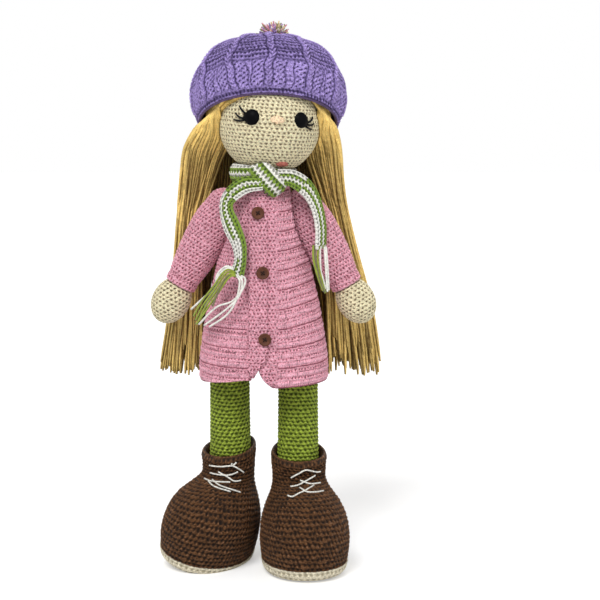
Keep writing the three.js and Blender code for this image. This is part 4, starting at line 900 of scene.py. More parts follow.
def stripe_material(name, first, second):
    """Crochet in two yarns: the tint says which yarn each stitch is worked in."""
    nodes = Nodes(bpy.data.materials.new(name))
    height = nodes.attribute("height")
    ramps = []
    for colour in (first, second):
        # Each yarn gets painted shade in its hollows and a painted highlight on its crowns.
        hollow, flank, crown = shades(colour, 0.35, 1.1)
        ramps.append(nodes.ramp(height, [(0, hollow), (0.3, flank / 2), (0.6, flank), (1, crown)]))
    both = nodes.mix(nodes.math("GREATER_THAN", nodes.attribute("tint"), 0.5), *ramps)
    fleck = nodes.noise(950, 1)
    relief = nodes.bump(fleck, 0.0003, 0.8, nodes.bump(height, 0.0008, 1.0))
    base = nodes.shaded(both, fleck, (0.36, 0.78), (0.6, 1.05))
    return nodes.finish(base, relief, 0.7, 0.25, Sheen_Weight=0.2)


def mixed_material(name, colours):
    """Cut yarn ends in several colours, picked by each strand's tint."""
    nodes = Nodes(bpy.data.materials.new(name))
    stops = [(i / len(colours), colour) for i, colour in enumerate(colours)]
    picked = nodes.ramp(nodes.attribute("tint"), stops, "CONSTANT")
    cloudy = nodes.shaded(picked, nodes.noise(500, 2), (0.3, 0.75), (0.7, 1.1))
    return nodes.finish(cloudy, nodes.bump(nodes.noise(3000, 2), 0.0002, 0.6), 0.92, 0.5, Sheen_Weight=0.3)


def hard_material(name, colour, roughness, scale, strength, shine=0.4, ior=1.5):
    """Wood, board or moulded plastic, with a fine grain in colour and relief."""
    nodes = Nodes(bpy.data.materials.new(name))
    grain = nodes.noise(scale, 3)
    ends = [(place, np.array(colour) * (1 + sign * strength * 4)) for place, sign in ((0.3, -1), (0.7, 1))]
    relief = nodes.bump(grain, 0.0001, strength * 4)
    return nodes.finish(nodes.ramp(grain, ends), relief, roughness, shine, IOR=ior)


# Sizes and colours


def length(name, default, description):
    return bpy.props.FloatProperty(
        name=name, description=description, default=default * MM, min=0.0, unit="LENGTH", precision=4)


def colour(name, code):
    return bpy.props.FloatVectorProperty(
        name=name, description=f"Colour of the {name.lower()}", default=linear(code),
        subtype="COLOR", size=3, min=0.0, max=1.0)


class DollSizes(bpy.types.PropertyGroup):
    """Sizes of the stitches and strands."""

    skin_stitch: length("Skin stitch", 3.7, "Width of one stitch of the head and hands")
    skin_row: length("Skin row", 2.95, "Height of one row of the head and hands")
    coat_stitch: length("Coat stitch", 2.9, "Width of one stitch of the coat")
    coat_row: length("Coat row", 2.9, "Height of one row of the coat")
    leg_stitch: length("Leg stitch", 3.9, "Width of one stitch of the legs")
    leg_row: length("Leg row", 3.1, "Height of one row of the legs")
    boot_stitch: length("Boot stitch", 3.7, "Width of one stitch of the boots")
    boot_row: length("Boot row", 3.5, "Height of one row of the boots")
    beret_stitch: length("Beret stitch", 2.9, "Width of one stitch of the beret")
    beret_row: length("Beret row", 3.9, "Height of one row of the beret")
    scarf_stitch: length("Scarf stitch", 3.2, "Width of one stitch of the scarf")
    relief: length("Relief", 1.3, "How far a stitch stands out of its hollow")
    hair_strand: length("Hair strand", 1.25, "Radius of one strand of hair yarn")


class DollColours(bpy.types.PropertyGroup):
    """Colours of the yarns and the hard pieces."""

    skin: colour("Skin yarn", "fff0c8")
    nose: colour("Nose yarn", "fbdcb8")
    mouth: colour("Mouth yarn", "c4776a")
    hair: colour("Hair yarn", "e6c474")
    beret: colour("Beret yarn", "a48fd2")
    edging: colour("Beret edging", "6f5a80")
    coat: colour("Coat yarn", "ffb2c4")
    leg: colour("Leg yarn", "a6ba42")
    boot: colour("Boot yarn", "684528")
    sole: colour("Sole yarn", "f4ead0")
    scarf_green: colour("Scarf green", "75902c")
    lace: colour("White yarn", "e4e2da")
    button: colour("Buttons", "55301f")
    eye: colour("Eyes", "08080a")


# How each yarn is finished, apart from its colour: what yarn_material takes. It sets how dark its painted
# shade in the hollows is, how light its painted highlight on the crowns is, and the tint of that painted
# shade.
YARNS = {
    "skin": {"dark": 0.1, "light": 1.12, "vary": 0.05, "shade_tint": (1, 0.75, 0.4), "cover": 0.72, "sheen": 0.03},
    "nose": {"light": 1.05, "vary": 0.05, "stitched": False},
    "mouth": {"dark": 0.4, "vary": 0.1, "stitched": False},
    "hair": {"dark": 0.08, "vary": 0.26, "roughness": 0.6, "sheen": 0.1, "stitched": False, "cover": 0.5,
             "speck": 0.15, "depth": 0.0002},
    "beret": {"dark": 0.1, "light": 1.6, "vary": 0.08, "shade_tint": (0.9, 0.6, 1), "cover": 0.66, "sheen": 0.03,
              "pale": 0.03},
    "edging": {"dark": 0.4, "stitched": False},
    "coat": {"dark": 0.2, "light": 1.05, "vary": 0.06, "shade_tint": (1, 0.45, 0.6), "cover": 0.42, "sheen": 0.03,
             "pale": 0.06},
    "leg": {"dark": 0.12, "light": 1.45, "vary": 0.06, "shade_tint": (0.9, 1, 0.3), "cover": 0.62, "sheen": 0.03,
            "pale": 0.03},
    "boot": {"dark": 0.06, "light": 2.2, "cover": 0.55, "sheen": 0.0, "pale": 0.06},
    "sole": {"dark": 0.45, "light": 1.03, "vary": 0.05},
    "lace": {"dark": 0.6, "light": 1.0, "vary": 0.03, "stitched": False},
}


def size(name):
    """A size of the panel in the file's millimetres."""
    return getattr(bpy.context.scene.doll_sizes, name) / MM


def gauge(name):
    """The width of a stitch and the height of a row of one yarn."""
    return size(f"{name}_stitch"), size(f"{name}_row")


def tone(name):
    """A colour of the panel."""
    return tuple(getattr(bpy.context.scene.doll_colours, name))


@cache
def yarn(name):
    """The material of one yarn, made once for all its pieces."""
    return yarn_material(f"{name}_yarn", tone(name), **YARNS[name])


# Body surfaces


def torso_surface(place, angle):
    """The torso's rows blended along its length and swept round as an egg-shaped ring."""
    rise, width, front, back = columns(TORSO_SHARES, place)
    x, y = oval(width * TORSO_REACH[0], front * TORSO_REACH[1], back * TORSO_REACH[2], angle)
    return stacked(x, y, TORSO_BASE + rise * TORSO_LENGTH)


def coat_surface(place, angle, out):
    """The coat's rows blended from hem to neckline, moved out by a fixed amount."""
    rise, *shares = columns(COAT_SHARES, place)
    x, y = oval(*(share * reach + out for share, reach in zip(shares, COAT_REACH)), angle)
    return stacked(x, y, HEM_HEIGHT + rise * COAT_LENGTH)


def turned_surface(profile):
    """A profile of (distance below the joint, radius) pairs turned round the limb's axis.

    Its shares of length are the places."""
    profile = np.asarray(profile, float)
    travelled = lengths(profile, 0)
    travelled /= travelled[-1]

    def surface(place, angle):
        return ringed(*(np.interp(place, travelled, profile[:, k]) for k in (0, 1)), angle)

    return surface


def dome(radius):
    """The half round that closes a limb's top, from near its crown down to its full radius."""
    angle = np.linspace(POLE, pi / 2, 9, endpoint=False)
    return np.stack([-radius * np.cos(angle), radius * np.sin(angle)], -1)


def sweep_limit(radius):
    """How far in from the shoulder the turning sleeve reaches, at a distance from its axis.

    The sleeve leans out by its splay, so its wall sweeps a dish: a round hollow at the
    shoulder and a cone outside it."""
    start = SLEEVE_SHARES[0][1] * SLEEVE_RADIUS
    arc = np.linspace(0, ARM_SPLAY, 5)
    rows = blended(SLEEVE_SHARES, np.linspace(0, 1, 12)) * (SLEEVE_LENGTH, SLEEVE_RADIUS)
    reach = np.concatenate([start * np.sin(arc), rows[:, 0] * cos(ARM_SPLAY) + rows[:, 1] * sin(ARM_SPLAY)])
    depth = np.concatenate([-start * np.cos(arc), rows[:, 0] * sin(ARM_SPLAY) - rows[:, 1] * cos(ARM_SPLAY)])
    return np.interp(radius, reach, depth)


def clear_of_sleeves(points, gap):
    """Points moved in towards the middle where a swinging sleeve would pass."""
    radius = np.hypot(points[..., 1], points[..., 2] - SHOULDER_HEIGHT)
    most = SHOULDER_WIDTH + sweep_limit(radius) - gap
    out = points.copy()
    out[..., 0] = np.sign(points[..., 0]) * np.minimum(np.abs(points[..., 0]), np.maximum(most, 0))
    return out


class DOLL_OT_torso(bpy.types.Operator):
    """Stuffs the torso and neck that the coat covers"""

    bl_idname = "doll.torso"
    bl_label = "Torso"

    def execute(self, context):
        def surface(place, angle):
            return clear_of_sleeves(torso_surface(place, angle), COAT_WALL + 3 * SEAM)

        torso = Piece().knit(*knitted(surface, gauge("skin"), 0.6, fine=3))
        torso.build("torso_knit", yarn("skin"), "torso", "torso")
        return {"FINISHED"}


# Head and face


def faced(points):
    """Points of the head turned the way that its face looks, and moved to its middle."""
    return turned(turned(points, FACE_ROLL, 1), FACE_TURN, 2) + HEAD_MIDDLE


def on_face(turn, lift, out):
    """Points of the face: turn and lift are angles on the head's oval, out is the distance off it."""
    turn, lift, out = np.broadcast_arrays(turn, lift, out)
    place = stacked(np.sin(turn) * np.cos(lift), -np.cos(turn) * np.cos(lift), np.sin(lift)) * HEAD_REACH
    return faced(place + unit(place / HEAD_REACH**2) * out[..., None])


def satin(turns, lifts, out, lift, count):
    """Threads laid side by side over a bump of the face.

    Each follows its turn from end to end while its distance off the face rises and falls as
    a half wave."""
    share = np.linspace(0, 1, count)
    return np.stack([
        on_face(a + (b - a) * share, c + (d - c) * share, lift + out * np.sin(pi * share) ** 0.6)
        for (a, b), (c, d) in zip(turns, lifts)
    ])


class DOLL_OT_head(bpy.types.Operator):
    """Crochets the stuffed head in rounds, with an embroidered nose and mouth"""

    bl_idname = "doll.head"
    bl_label = "Head"

    def execute(self, context):
        def ball(place, angle):
            """A ball squashed upright, from its neck hole to just below its crown."""
            polar = NECK_HOLE + (pi - POLE - NECK_HOLE) * place
            return faced(ringed(HEAD_HALF_HEIGHT * np.cos(polar), HEAD_RADIUS * np.sin(polar), angle))

        angles = finer_front(radians(118), 310, 44)
        head = Piece().knit(*knitted(ball, gauge("skin"), 0.75, fine=6, pattern=skin_vee, angles=angles))
        head.build("head_knit", yarn("skin"), "head", "head")

        rows = np.linspace(-1, 1, 6)
        reach = NOSE_SIZE[0] / HEAD_RADIUS * np.sqrt(1.04 - rows**2)
        lifts = np.repeat(NOSE_LIFT + rows[:, None] * NOSE_SIZE[1] / HEAD_HALF_HEIGHT, 2, 1)
        threads = satin(np.stack([-reach, reach], -1), lifts, NOSE_SIZE[2], 0.32, 11)
        Piece().tubes(threads, 0.68, 8, 0.6, twist=0.4).build(
            "nose_stitches", yarn("nose"), "head", "nose", "skin_yarn")

        share = np.linspace(-1, 1, 9)
        places = share * MOUTH_SIZE[0] / HEAD_RADIUS
        rise = MOUTH_SIZE[1] / HEAD_HALF_HEIGHT * np.sqrt(1.1 - share**2)
        slant = 1.2 / HEAD_RADIUS
        turns = [np.stack([places, places + side * slant], -1) for side in (1, -1)]
        turns = MOUTH_TURN + np.concatenate(turns)
        lifts = np.tile(np.stack([-MOUTH_DROP - rise, rise - MOUTH_DROP], -1), (2, 1))
        threads = satin(turns, lifts, MOUTH_SIZE[2], 0.24, 9)
        Piece().tubes(threads, 0.55, 6, reference=(0, 1, 0), twist=0.4).build(
            "mouth_stitches", yarn("mouth"), "head", "mouth")
        return {"FINISHED"}


class DOLL_OT_eyes(bpy.types.Operator):
    """Adds the two domed safety eyes and their sewn lashes"""

    bl_idname = "doll.eyes"
    bl_label = "Eyes and lashes"

    def execute(self, context):
        gloss = hard_material("eye_plastic", tone("eye"), 0.4, 900, 0.01, shine=0.3, ior=1.15)
        thread = yarn_material("black_thread", linear("0c0c0e"), dark=0.5, sheen=0.1, roughness=0.7,
                               stitched=False)
        sink = EYE_RADIUS**2 / (2 * HEAD_RADIUS)
        angle = np.linspace(0, pi / 2 - 0.03, 14)
        dome_reach = EYE_RADIUS * np.append(0.9, np.cos(angle) ** 0.9)
        dome_rise = np.append(-0.9, EYE_HEIGHT * np.sin(angle))
        t = np.linspace(0, 1, 9)
        for side, fan in LASHES.items():
            sign = SIGNS[side]

            def beside(bend, reach, out):
                """Points at an angle and a distance round the eye's middle."""
                return on_face(sign * (EYE_SPREAD + reach * np.cos(bend) / HEAD_RADIUS),
                               EYE_LIFT + reach * np.sin(bend) / HEAD_HALF_HEIGHT, out)

            seat, face, front = (on_face(sign * EYE_SPREAD, EYE_LIFT, out) for out in (-sink, 0.0, 1.0))
            facing = front - face
            across = unit(np.cross((0, 0, 1), facing))
            points = disc(seat, across, np.cross(facing, across), facing, dome_reach, dome_rise, 48)
            Piece().grid(points).build(f"eye_dome_{side}", gloss, "head", f"eye_{side}")

            lashes = Piece()
            for root, tip, reach in fan:
                path = beside(np.radians(root + (tip - root) * t), EYE_RADIUS + 0.1 + reach * t,
                              0.8 + 0.5 * np.sin(pi * t))
                lashes.tubes(path, 0.85 - 0.25 * t, 7, twist=0.6)
            lean = np.radians(np.linspace(fan[0][0], fan[-1][0], 7))
            lashes.tubes(beside(lean, EYE_RADIUS + 0.35, 0.6), 0.5, 7)
            lashes.build(f"lash_threads_{side}", thread, "head", f"lashes_{side}")
        return {"FINISHED"}


# Hair


def hair_points(share, fall, low, high, inset):
    """Strand points on the hair's rows.

    The share runs from one edge of a bunch to the other and the fall from the top to the ends.
    An edge is an angle, or a share of the row's own reach."""
    drop, left, right, depth, shift, reach = columns(HAIR_SHARES, fall)
    edges = [edge * reach * HAIR_REACH if scaled else edge for edge, scaled in (low, high)]
    angle = edges[0] + (edges[1] - edges[0]) * share
    flare = 1 + HAIR_FLARE * np.clip((fall - 0.5) / 0.5, 0, 1) ** 1.5
    width = np.where(angle > 0, left, right) * HAIR_HALF_WIDTH * flare - inset
    return stacked(width * np.sin(angle), shift * HAIR_DEPTH + (depth * HAIR_DEPTH - inset) * np.cos(angle),
                   HAIR_TOP - drop * HAIR_LENGTH)


def tucked(points):
    """Points above the beret's rim drawn in towards its opening, so that the hat's edge covers them."""
    seat = BERET_MIDDLE - HEAD_MIDDLE + (0, 0, BERET_RIM)
    local = turned(points - seat, BERET_TILT, 0)
    width, front, back = (share * reach - 7 for share, reach in zip(BERET_SHARES[0][2:], BERET_REACH))
    radius = np.hypot(local[..., 0] / width, local[..., 1] / np.where(local[..., 1] < 0, front, back))
    over = np.clip((local[..., 2] + 9) / 8, 0, 1)
    shrink = 1 + over * (np.minimum(1, 1 / np.maximum(radius, 1e-6)) - 1)
    local[..., :2] *= shrink[..., None]
    return turned(local, -BERET_TILT, 0) + seat


def front_hair(share, fall, part, inset):
    """Strands in front of a side bunch, spread from its front edge, at share 0, to the face and neck."""
    sign = SIGNS[part]
    low, high = ((0.0, False), (1.0, True))[::sign]
    edge = hair_points((1 + sign) / 2, fall, (low[0] * sign, low[1]), (high[0] * sign, high[1]), inset)
    _, across, forward = columns(HAIR_FRONT_SHARES, fall)
    inner = stacked(sign * across * HAIR_HALF_WIDTH - HEAD_MIDDLE[0] * np.clip(fall * 3 - 0.4, 0, 1),
                    -forward * HAIR_DEPTH, edge[..., 2])
    points = edge + (inner - edge) * share[..., None]
    points[..., 1] -= HAIR_BULGE * np.sin(pi * share) * np.clip(1 - fall / 0.4, 0, 1)
    return points


def off_head(points, gap):
    """Points relative to the head's middle, moved out where they are closer to its ball than a gap."""
    reach = np.linalg.norm(points / (HEAD_REACH + gap), axis=-1)
    return points / np.clip(reach, 0.5, 1)[..., None]


def off_shoulder(points, gap):
    """Points relative to the head's middle, moved away from the line through both shoulders."""
    height = SHOULDER_HEIGHT - HEAD_MIDDLE[2]
    back, rise = points[..., 1] + HEAD_MIDDLE[1], points[..., 2] - height
    reach = np.hypot(back, rise)
    beside = np.clip((np.abs(points[..., 0]) - 12) / 6, 0, 1)
    push = 1 + beside * (np.maximum((SLEEVE_RADIUS + gap) / np.maximum(reach, 1e-6), 1) - 1)
    return stacked(points[..., 0], back * push - HEAD_MIDDLE[1], rise * push + height)


class DOLL_OT_hair(bpy.types.Operator):
    """Lays the long strands of hair down both sides and the back, and a cap of strands under the hat"""

    bl_idname = "doll.hair"
    bl_label = "Hair"

    def execute(self, context):
        radius = size("hair_strand")
        chance = np.random.default_rng(7)

        def lay(bunch, count, surface, shade, jitter=0.12):
            """Adds strands spread over a surface, each wandering a little and ending where it may."""
            share = (np.arange(count) + 0.5) / count
            share = np.clip(share + chance.normal(0, jitter / count, count), 0.005, 0.995)
            fall = np.linspace(0, 1, 46)[None, :] * (1 + chance.uniform(-0.07, 0.02, (count, 1)))
            wander = chance.uniform(0, TURN, (count, 2))
            sway = 0.5 / count * np.sin(fall * 7 + wander[:, :1]) * np.clip(fall * 3, 0, 1)
            paths = surface(np.clip(share[:, None] + sway, 0, 1), np.clip(fall, 0, 1))
            paths[..., 2] -= np.clip(fall - 1, 0, 1) * HAIR_LENGTH
            paths[..., 0] += chance.normal(0, 2.6, (count, 1)) * np.clip(fall * 5 - 4, 0, 1)
            ripple = 0.7 * np.sin(fall * 19 + wander[:, 1:]) + chance.normal(0, 0.5, (count, 1))
            paths[..., 1] += ripple * np.clip(fall * 4, 0, 1)
            paths = off_shoulder(off_head(tucked(paths), radius + 0.2), radius)
            # Outward directions for painted shade on each strand's flanks; the layer's shade value sets the
            # strands' height, lower as painted shade for inner layers.
            outward = unit(stacked(paths[..., 0] / HAIR_HALF_WIDTH, (paths[..., 1] - 12) / HAIR_DEPTH, 0))
            thick = radius * (1 + 0.08 * np.sin(fall * 40 + wander[:, :1]))
            bunch.tubes(paths + HEAD_MIDDLE, thick, 7, chance.uniform(0, 1, count), shade,
                        reference=(0, 1, 0.01), twist=0.16, taper=0.6, outward=outward)

        for part, (low, high, count) in HAIR_PARTS.items():
            bunch = Piece()
            for inset, shade in HAIR_LAYERS:
                lay(bunch, count,
                    lambda share, fall: hair_points(share, fall, low, high, radius + inset), shade)
            if part != "back":
                for inset, shade in HAIR_FRONT_LAYERS:
                    lay(bunch, HAIR_FRONT_COUNT,
                        lambda share, fall: front_hair(share, fall, part, radius + inset), shade, 0.3)
            made = bunch.build(f"hair_strands_{part}", yarn("hair"), None, f"hair_{part}")
            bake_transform(made)

        cap = Piece()
        count = 44
        along = np.linspace(-0.62, 0.97, count)
        share = np.linspace(0.02, 1, 26)
        for layer, out in ((0, 1.9), (1, 0.6)):
            slice_at = np.clip(along + 0.5 * layer * (along[1] - along[0]), -0.62, 0.99)[:, None]
            reach = np.sqrt(1 - slice_at**2)
            brim = (BERET_RIM + 2 - (slice_at * HEAD_RADIUS - 6) * tan(BERET_TILT)) / HEAD_HALF_HEIGHT / reach
            finish = np.minimum(np.arccos(np.clip(brim, -0.3, 0.97)), pi / 2 + 0.25)
            for sign in (1, -1):
                turn = share[None, :] * finish
                paths = stacked(sign * np.sin(turn) * reach, slice_at, np.cos(turn) * reach)
                # The inner layer's strands are lower in height, painted shade under the outer layer, and
                # their flanks take painted shade from the outward directions.
                outward = turned(unit(paths), FACE_TURN, 2)
                cap.tubes(turned(paths * (HEAD_REACH + out), FACE_TURN, 2) + HEAD_MIDDLE, radius, 7,
                          chance.uniform(0, 1, count), 1.0 - 0.3 * layer, reference=(0, 1, 0.01), twist=0.16,
                          outward=outward)
        cap.build("hair_cap_strands", yarn("hair"), "head", "hair_cap")
        return {"FINISHED"}


# Beret and pompom


def beret_surface(place, angle, inset=0.0):
    """The beret's rows blended from rim to crown: egg-shaped rings, tilted and shifted back, with lobes."""
    rise, shift, *shares, tilt = columns(BERET_SHARES, place)
    x, y = oval(*(share * reach - inset for share, reach in zip(shares, BERET_REACH)), angle)
    lobe = 1 + 0.022 * np.sin(pi * rise) * np.cos(BERET_RIBS * angle)
    z = BERET_RIM + rise * (BERET_HEIGHT - inset) - y * lobe * np.sin(tilt * BERET_TILT)
    return stacked(x * lobe, shift * BERET_HEIGHT + y * lobe * np.cos(tilt * BERET_TILT), z) + BERET_MIDDLE


def chunks(x, y, lean):
    """Height of short threads, one to each cell of a grid whose columns are set off by half a cell.

    Each is a round top across times a round end along."""
    column = np.floor(x)
    y = y + 0.5 * (column % 2)
    level = np.floor(y)
    a, b = x - column - 0.5, y - level - 0.5
    turn = lean + 0.6 * (hashed(column, level + 5) - 0.5)
    along, beside = a * np.sin(turn) + b * np.cos(turn), a * np.cos(turn) - b * np.sin(turn)
    return strand(beside, 0.33) ** 0.7 * strand(along, 0.6) ** 0.5 * (0.75 + 0.25 * hashed(level, column))


class DOLL_OT_beret(bpy.types.Operator):
    """Crochets the ribbed beret, with crossing post stitches round its lower half and an edging"""

    bl_idname = "doll.beret"
    bl_label = "Beret"

    def execute(self, context):
        stitch, row = gauge("beret")
        places = even_places(beret_surface, 0, 1, 165)[0][:, None]
        angles = finer_front(radians(100), 370, 182)[None, :]
        base = beret_surface(places, angles)
        uv = np.stack(stitch_grid(base, True, stitch, row), -1)
        pitch = lengths(np.concatenate([base, base[:, :1]], 1), 1)[:, -1:] / BERET_RIBS
        climb = lengths(base, 0)
        turn = (angles - BERET_RIB_TURN) / TURN * BERET_RIBS
        wave = 0.05 * np.sin(climb / 7 + 2.4 * np.round(turn))
        turn = turn + wave + 0.03 * np.sin(climb / 2.6 + 1.3 * np.round(2 * turn))
        section = np.floor(turn % BERET_RIBS)
        spot = turn % 1 - 0.5
        across = np.abs(spot) * pitch
        beside = (0.5 - np.abs(spot)) * pitch
        free = np.clip((places - 0.03) / 0.03, 0, 1)
        lower = np.clip((0.3 - places) / 0.06, 0, 1) * free

        def braid(distance, half):
            """A raised column of slanting strands: a round top times a chevron wave."""
            chevron = 0.5 + 0.5 * np.cos(TURN * (climb / 3.3 + 0.4 * section - distance / 3.0))
            return strand(distance, half) ** 0.5 * (0.12 + 0.88 * chevron**0.6)

        def groove(distance, depth, width):
            """A dip: one less its depth times a bell curve of the distance from it. Where it dims the height,
            the yarn's colours paint a line of shade.
            """
            return 1 - depth * np.exp(-((distance / width) ** 2))

        ground = beret_vee(uv[:, :-1, 0], uv[:, :-1, 1])
        ground = ground * groove((climb / row + 0.5 + 0.7 * hashed(section, section)) % 2 - 1, 0.75, 0.13)
        lane, knot_rise = spot * pitch / 2.6, climb / 3.6
        knots = np.maximum(chunks(lane + section, knot_rise, 0.8),
                           chunks(lane + 0.5 + section, knot_rise + 0.4, -0.7) * 0.9)
        ground = ground * (1 - lower) + knots * lower
        ground = ground * groove(beside - 2.9, 0.8 * free, 0.6) * groove(across - 2.1, 0.6 * lower, 0.5)
        main, second = braid(beside, 2.8) * free, braid(across, 1.9) * lower
        relief = np.maximum.reduce([1.5 * ground - 0.9, 2.3 * main - 0.8, 1.7 * second - 0.7])
        height = np.maximum.reduce([ground, main, second])
        inner = beret_surface(np.linspace(0.985, 0, 9)[:, None], angles, BERET_WALL)
        hat = with_rows((base + normals(base) * relief[..., None], height, uv), inner, 0.4, first=True)
        Piece().grid(*hat).build("beret_knit", yarn("beret"), "hat", "beret")

        turn = circle(240)[:, None]
        ring = beret_surface(np.zeros((240, 1)), turn, BERET_WALL / 2)[:, 0]
        drop = np.array([0, -sin(BERET_TILT), -cos(BERET_TILT)])
        around = circle(10)
        out = unit(ring - BERET_MIDDLE - (0, 0, BERET_RIM))
        reach = EDGING_RADIUS * 0.62 * (1 + 0.12 * np.cos(2 * (around - turn * EDGING_TWISTS)))
        tube = (ring[:, None] + drop * EDGING_RADIUS * 0.5
                + (reach * np.cos(around))[..., None] * out[:, None]
                + (reach * np.sin(around))[..., None] * drop)
        Piece().grid(tube, 0.6, ends="join").build("beret_rim_cord", yarn("edging"), "hat", "beret_edging")
        return {"FINISHED"}


class DOLL_OT_pompom(bpy.types.Operator):
    """Ties the tuft of cut yarn ends on the crown of the beret"""

    bl_idname = "doll.pompom"
    bl_label = "Pompom"

    def execute(self, context):
        rise, shift, _, _, _, tilt = BERET_SHARES[-1]
        lean = tilt * BERET_TILT
        seat = BERET_MIDDLE + (POMPOM_SIDE, shift * BERET_HEIGHT, BERET_RIM + rise * BERET_HEIGHT)
        seat = seat + np.array([0, sin(lean), cos(lean)]) * 2.5
        chance = np.random.default_rng(11)
        cast = unit(chance.normal(size=(POMPOM_ENDS, 3)))
        cast[:, 2] = np.abs(cast[:, 2]) * 1.1 + 0.05
        cast = turned(unit(cast), -lean, 0)
        reach = POMPOM_RADIUS * chance.uniform(0.82, 1.12, (POMPOM_ENDS, 1, 1))
        share = np.linspace(0, 1, 7)[None, :, None]
        droop = chance.normal(0, 1.0, (POMPOM_ENDS, 1, 3)) * share**2 * 1.6
        paths = seat + cast[:, None] * (reach * (0.1 + 0.9 * share)) + droop
        colours = mixed_material("pompom_yarn", [linear(code) for code in POMPOM_COLOURS])
        tint = chance.uniform(0, 1, POMPOM_ENDS)
        Piece().tubes(paths, 0.62, 6, tint, reference=(0.3, 0.8, 0.5), taper=0.9).build(
            "pompom_yarn_ends", colours, "hat", "pompom")
        return {"FINISHED"}


# Coat


def coat_front(side, height, lift):
    """A point in front of the coat, at a side place and a height, lifted off it."""
    dense = blended(COAT_SHARES, np.linspace(0, 1, 200))
    rise = np.clip((np.asarray(height, float) - HEM_HEIGHT) / COAT_LENGTH, 0, 1)
    width, front = (np.interp(rise, dense[:, 0], dense[:, k]) * COAT_REACH[k - 1] for k in (1, 2))
    share = np.minimum(np.abs(side) / width, 0.95)
    return stacked(side, -(front + lift) * np.sqrt(1 - share**2), height)


def coat_pattern(across, along, points):
    """Rows of tall posts between rows of small stitches, with a groove under each pair.

    The rows climb towards the doll's left shoulder, and the upper right side is plain."""
    x, y, z = np.moveaxis(points, -1, 0)
    climb = np.clip((z - HEM_HEIGHT - 8) / 50, 0, 1) * np.clip((x - 8) / 20, 0, 1)
    rise = (z - HEM_HEIGHT - 0.16 * (x - 10) * climb) / RIDGE_ROW
    beat = rise % 5
    fine = height = coat_vee(across, rise)
    posts = np.sqrt(np.abs(np.cos(pi * across * 1.5)))
    for low, high, span in POST_ROWS:
        post = posts * np.sqrt(np.clip(np.sin(pi * np.clip((beat - low) / span, 0, 1)), 0, 1))
        height = np.where((beat > low) & (beat < high), post, height)
    # Each groove is a low height: a real dip in the relief, and painted shade in the yarn's colours.
    height = np.where(beat < POST_ROWS[0][0], 0.12, height)
    quiet = np.clip((12 - np.abs(x)) / 1.5, 0, 1) * (y < 0)
    quiet = np.maximum(quiet, np.clip((z - HEM_HEIGHT - 52) / 3, 0, 1) * (x < 0))
    return height * (1 - quiet) + fine * quiet


def hem_raised(points):
    """The right front's lowest rows drawn up towards the slit, by smooth steps down and across."""
    x, y, z = np.moveaxis(points, -1, 0)
    near = np.clip((x + 48) / 35, 0, 1) * np.clip(-y / 25, 0, 1)
    rise = smooth(np.clip(1 - (z - HEM_HEIGHT) / 30, 0, 1)) * near * RIGHT_HEM_LIFT
    return points + rise[..., None] * np.array([0, 0, 1])


def coat_wall(surface, name, relief, wall, low, high, rows, body=None, **others):
    """A crocheted wall of the coat with a plain inner side, from a surface of place and share."""
    knit = knitted(surface, others.pop("gauge"), relief, low, high, wrap=False, arc=(0, 1), **others)
    share = np.linspace(0, 1, knit[0].shape[1])[None, :]
    inner = surface(np.linspace(low, high, rows)[:, None], share, -wall)
    part, _, side = name.rpartition("_")
    knit_name = f"{part}_knit_{side}" if side in SIGNS else f"{name}_knit"
    return Piece().panel(*knit, inner).build(knit_name, yarn("coat"), body, name)


def skirt_blend(piece):
    """Bakes a skirt or band piece's place into its mesh."""
    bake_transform(piece)


class DOLL_OT_coat(bpy.types.Operator):
    """Crochets the coat: its bodice, the two halves of its skirt and the two front bands"""

    bl_idname = "doll.coat"
    bl_label = "Coat"

    def execute(self, context):
        dense = np.linspace(0, 1, 400)
        rises = blended(COAT_SHARES, dense)[:, 0]
        waist = float(np.interp((SKIRT_TOP - HEM_HEIGHT) / COAT_LENGTH, rises, dense))
        stitch, row = gauge("coat")

        def part_surface(part):
            def surface(place, share, out=0.0):
                width = blended(COAT_SHARES, place)[..., 1] * COAT_REACH[0]
                left, right = (np.arcsin(np.clip(edge / width, -1, 1))
                               for edge in (BAND_LAP_LEFT - 0.5, 0.5 - BAND_LAP_RIGHT))
                start = -pi if part == "right" else left
                finish = pi if part == "left" else right if part == "right" else TURN + right
                points = coat_surface(place, start + (finish - start) * share, out)
                points = clear_of_sleeves(points, SEAM - min(out, 0))
                return hem_raised(points) if part == "right" else points

            return surface

        walls = {"gauge": (stitch, row), "fine": 5, "pattern": coat_pattern}
        bodice = coat_wall(part_surface("bodice"), "coat_bodice", 0.85, COAT_WALL, waist, 1, 9, "torso",
                           **walls)
        skirts = {
            side: coat_wall(part_surface(side), f"coat_skirt_{side}", 0.85, COAT_WALL, 0, waist, 9, **walls)
            for side in SIGNS
        }
        for side, skirt in skirts.items():
            skirt_blend(skirt)

        def band_surface(side):
            low = HEM_HEIGHT + SEAM + (RIGHT_HEM_RISE * 0.4 if side == "right" else 0)
            lap = BAND_LAP_RIGHT if side == "right" else BAND_LAP_LEFT
            power, lift = BAND_SLITS[side]

            def surface(place, share, out=0.0):
                """From the band's outer edge to its overlap, which a slit opens towards the hem."""
                height = low + place * (NECKLINE - SEAM - low)
                slit = 0.85 * np.clip((HEM_HEIGHT + SLIT_HEIGHT - height) / SLIT_HEIGHT, 0, 1) ** power
                inner = BAND_EDGE - (BAND_EDGE + lap) * slit
                edges = (-lap - 0.8, inner) if side == "right" else (-inner, lap + 0.8)
                points = coat_front(edges[0] + (edges[1] - edges[0]) * share, height, lift + out)
                return hem_raised(points) if side == "right" else points

            return surface

        for side in ("right", "left"):
            band = coat_wall(band_surface(side), f"front_band_{side}", 0.8, BAND_WALL, 0, 1, 24,
                             gauge=(stitch, row * 0.93), fine=6, pattern=coat_vee)
            skirt_blend(band)
        return {"FINISHED"}


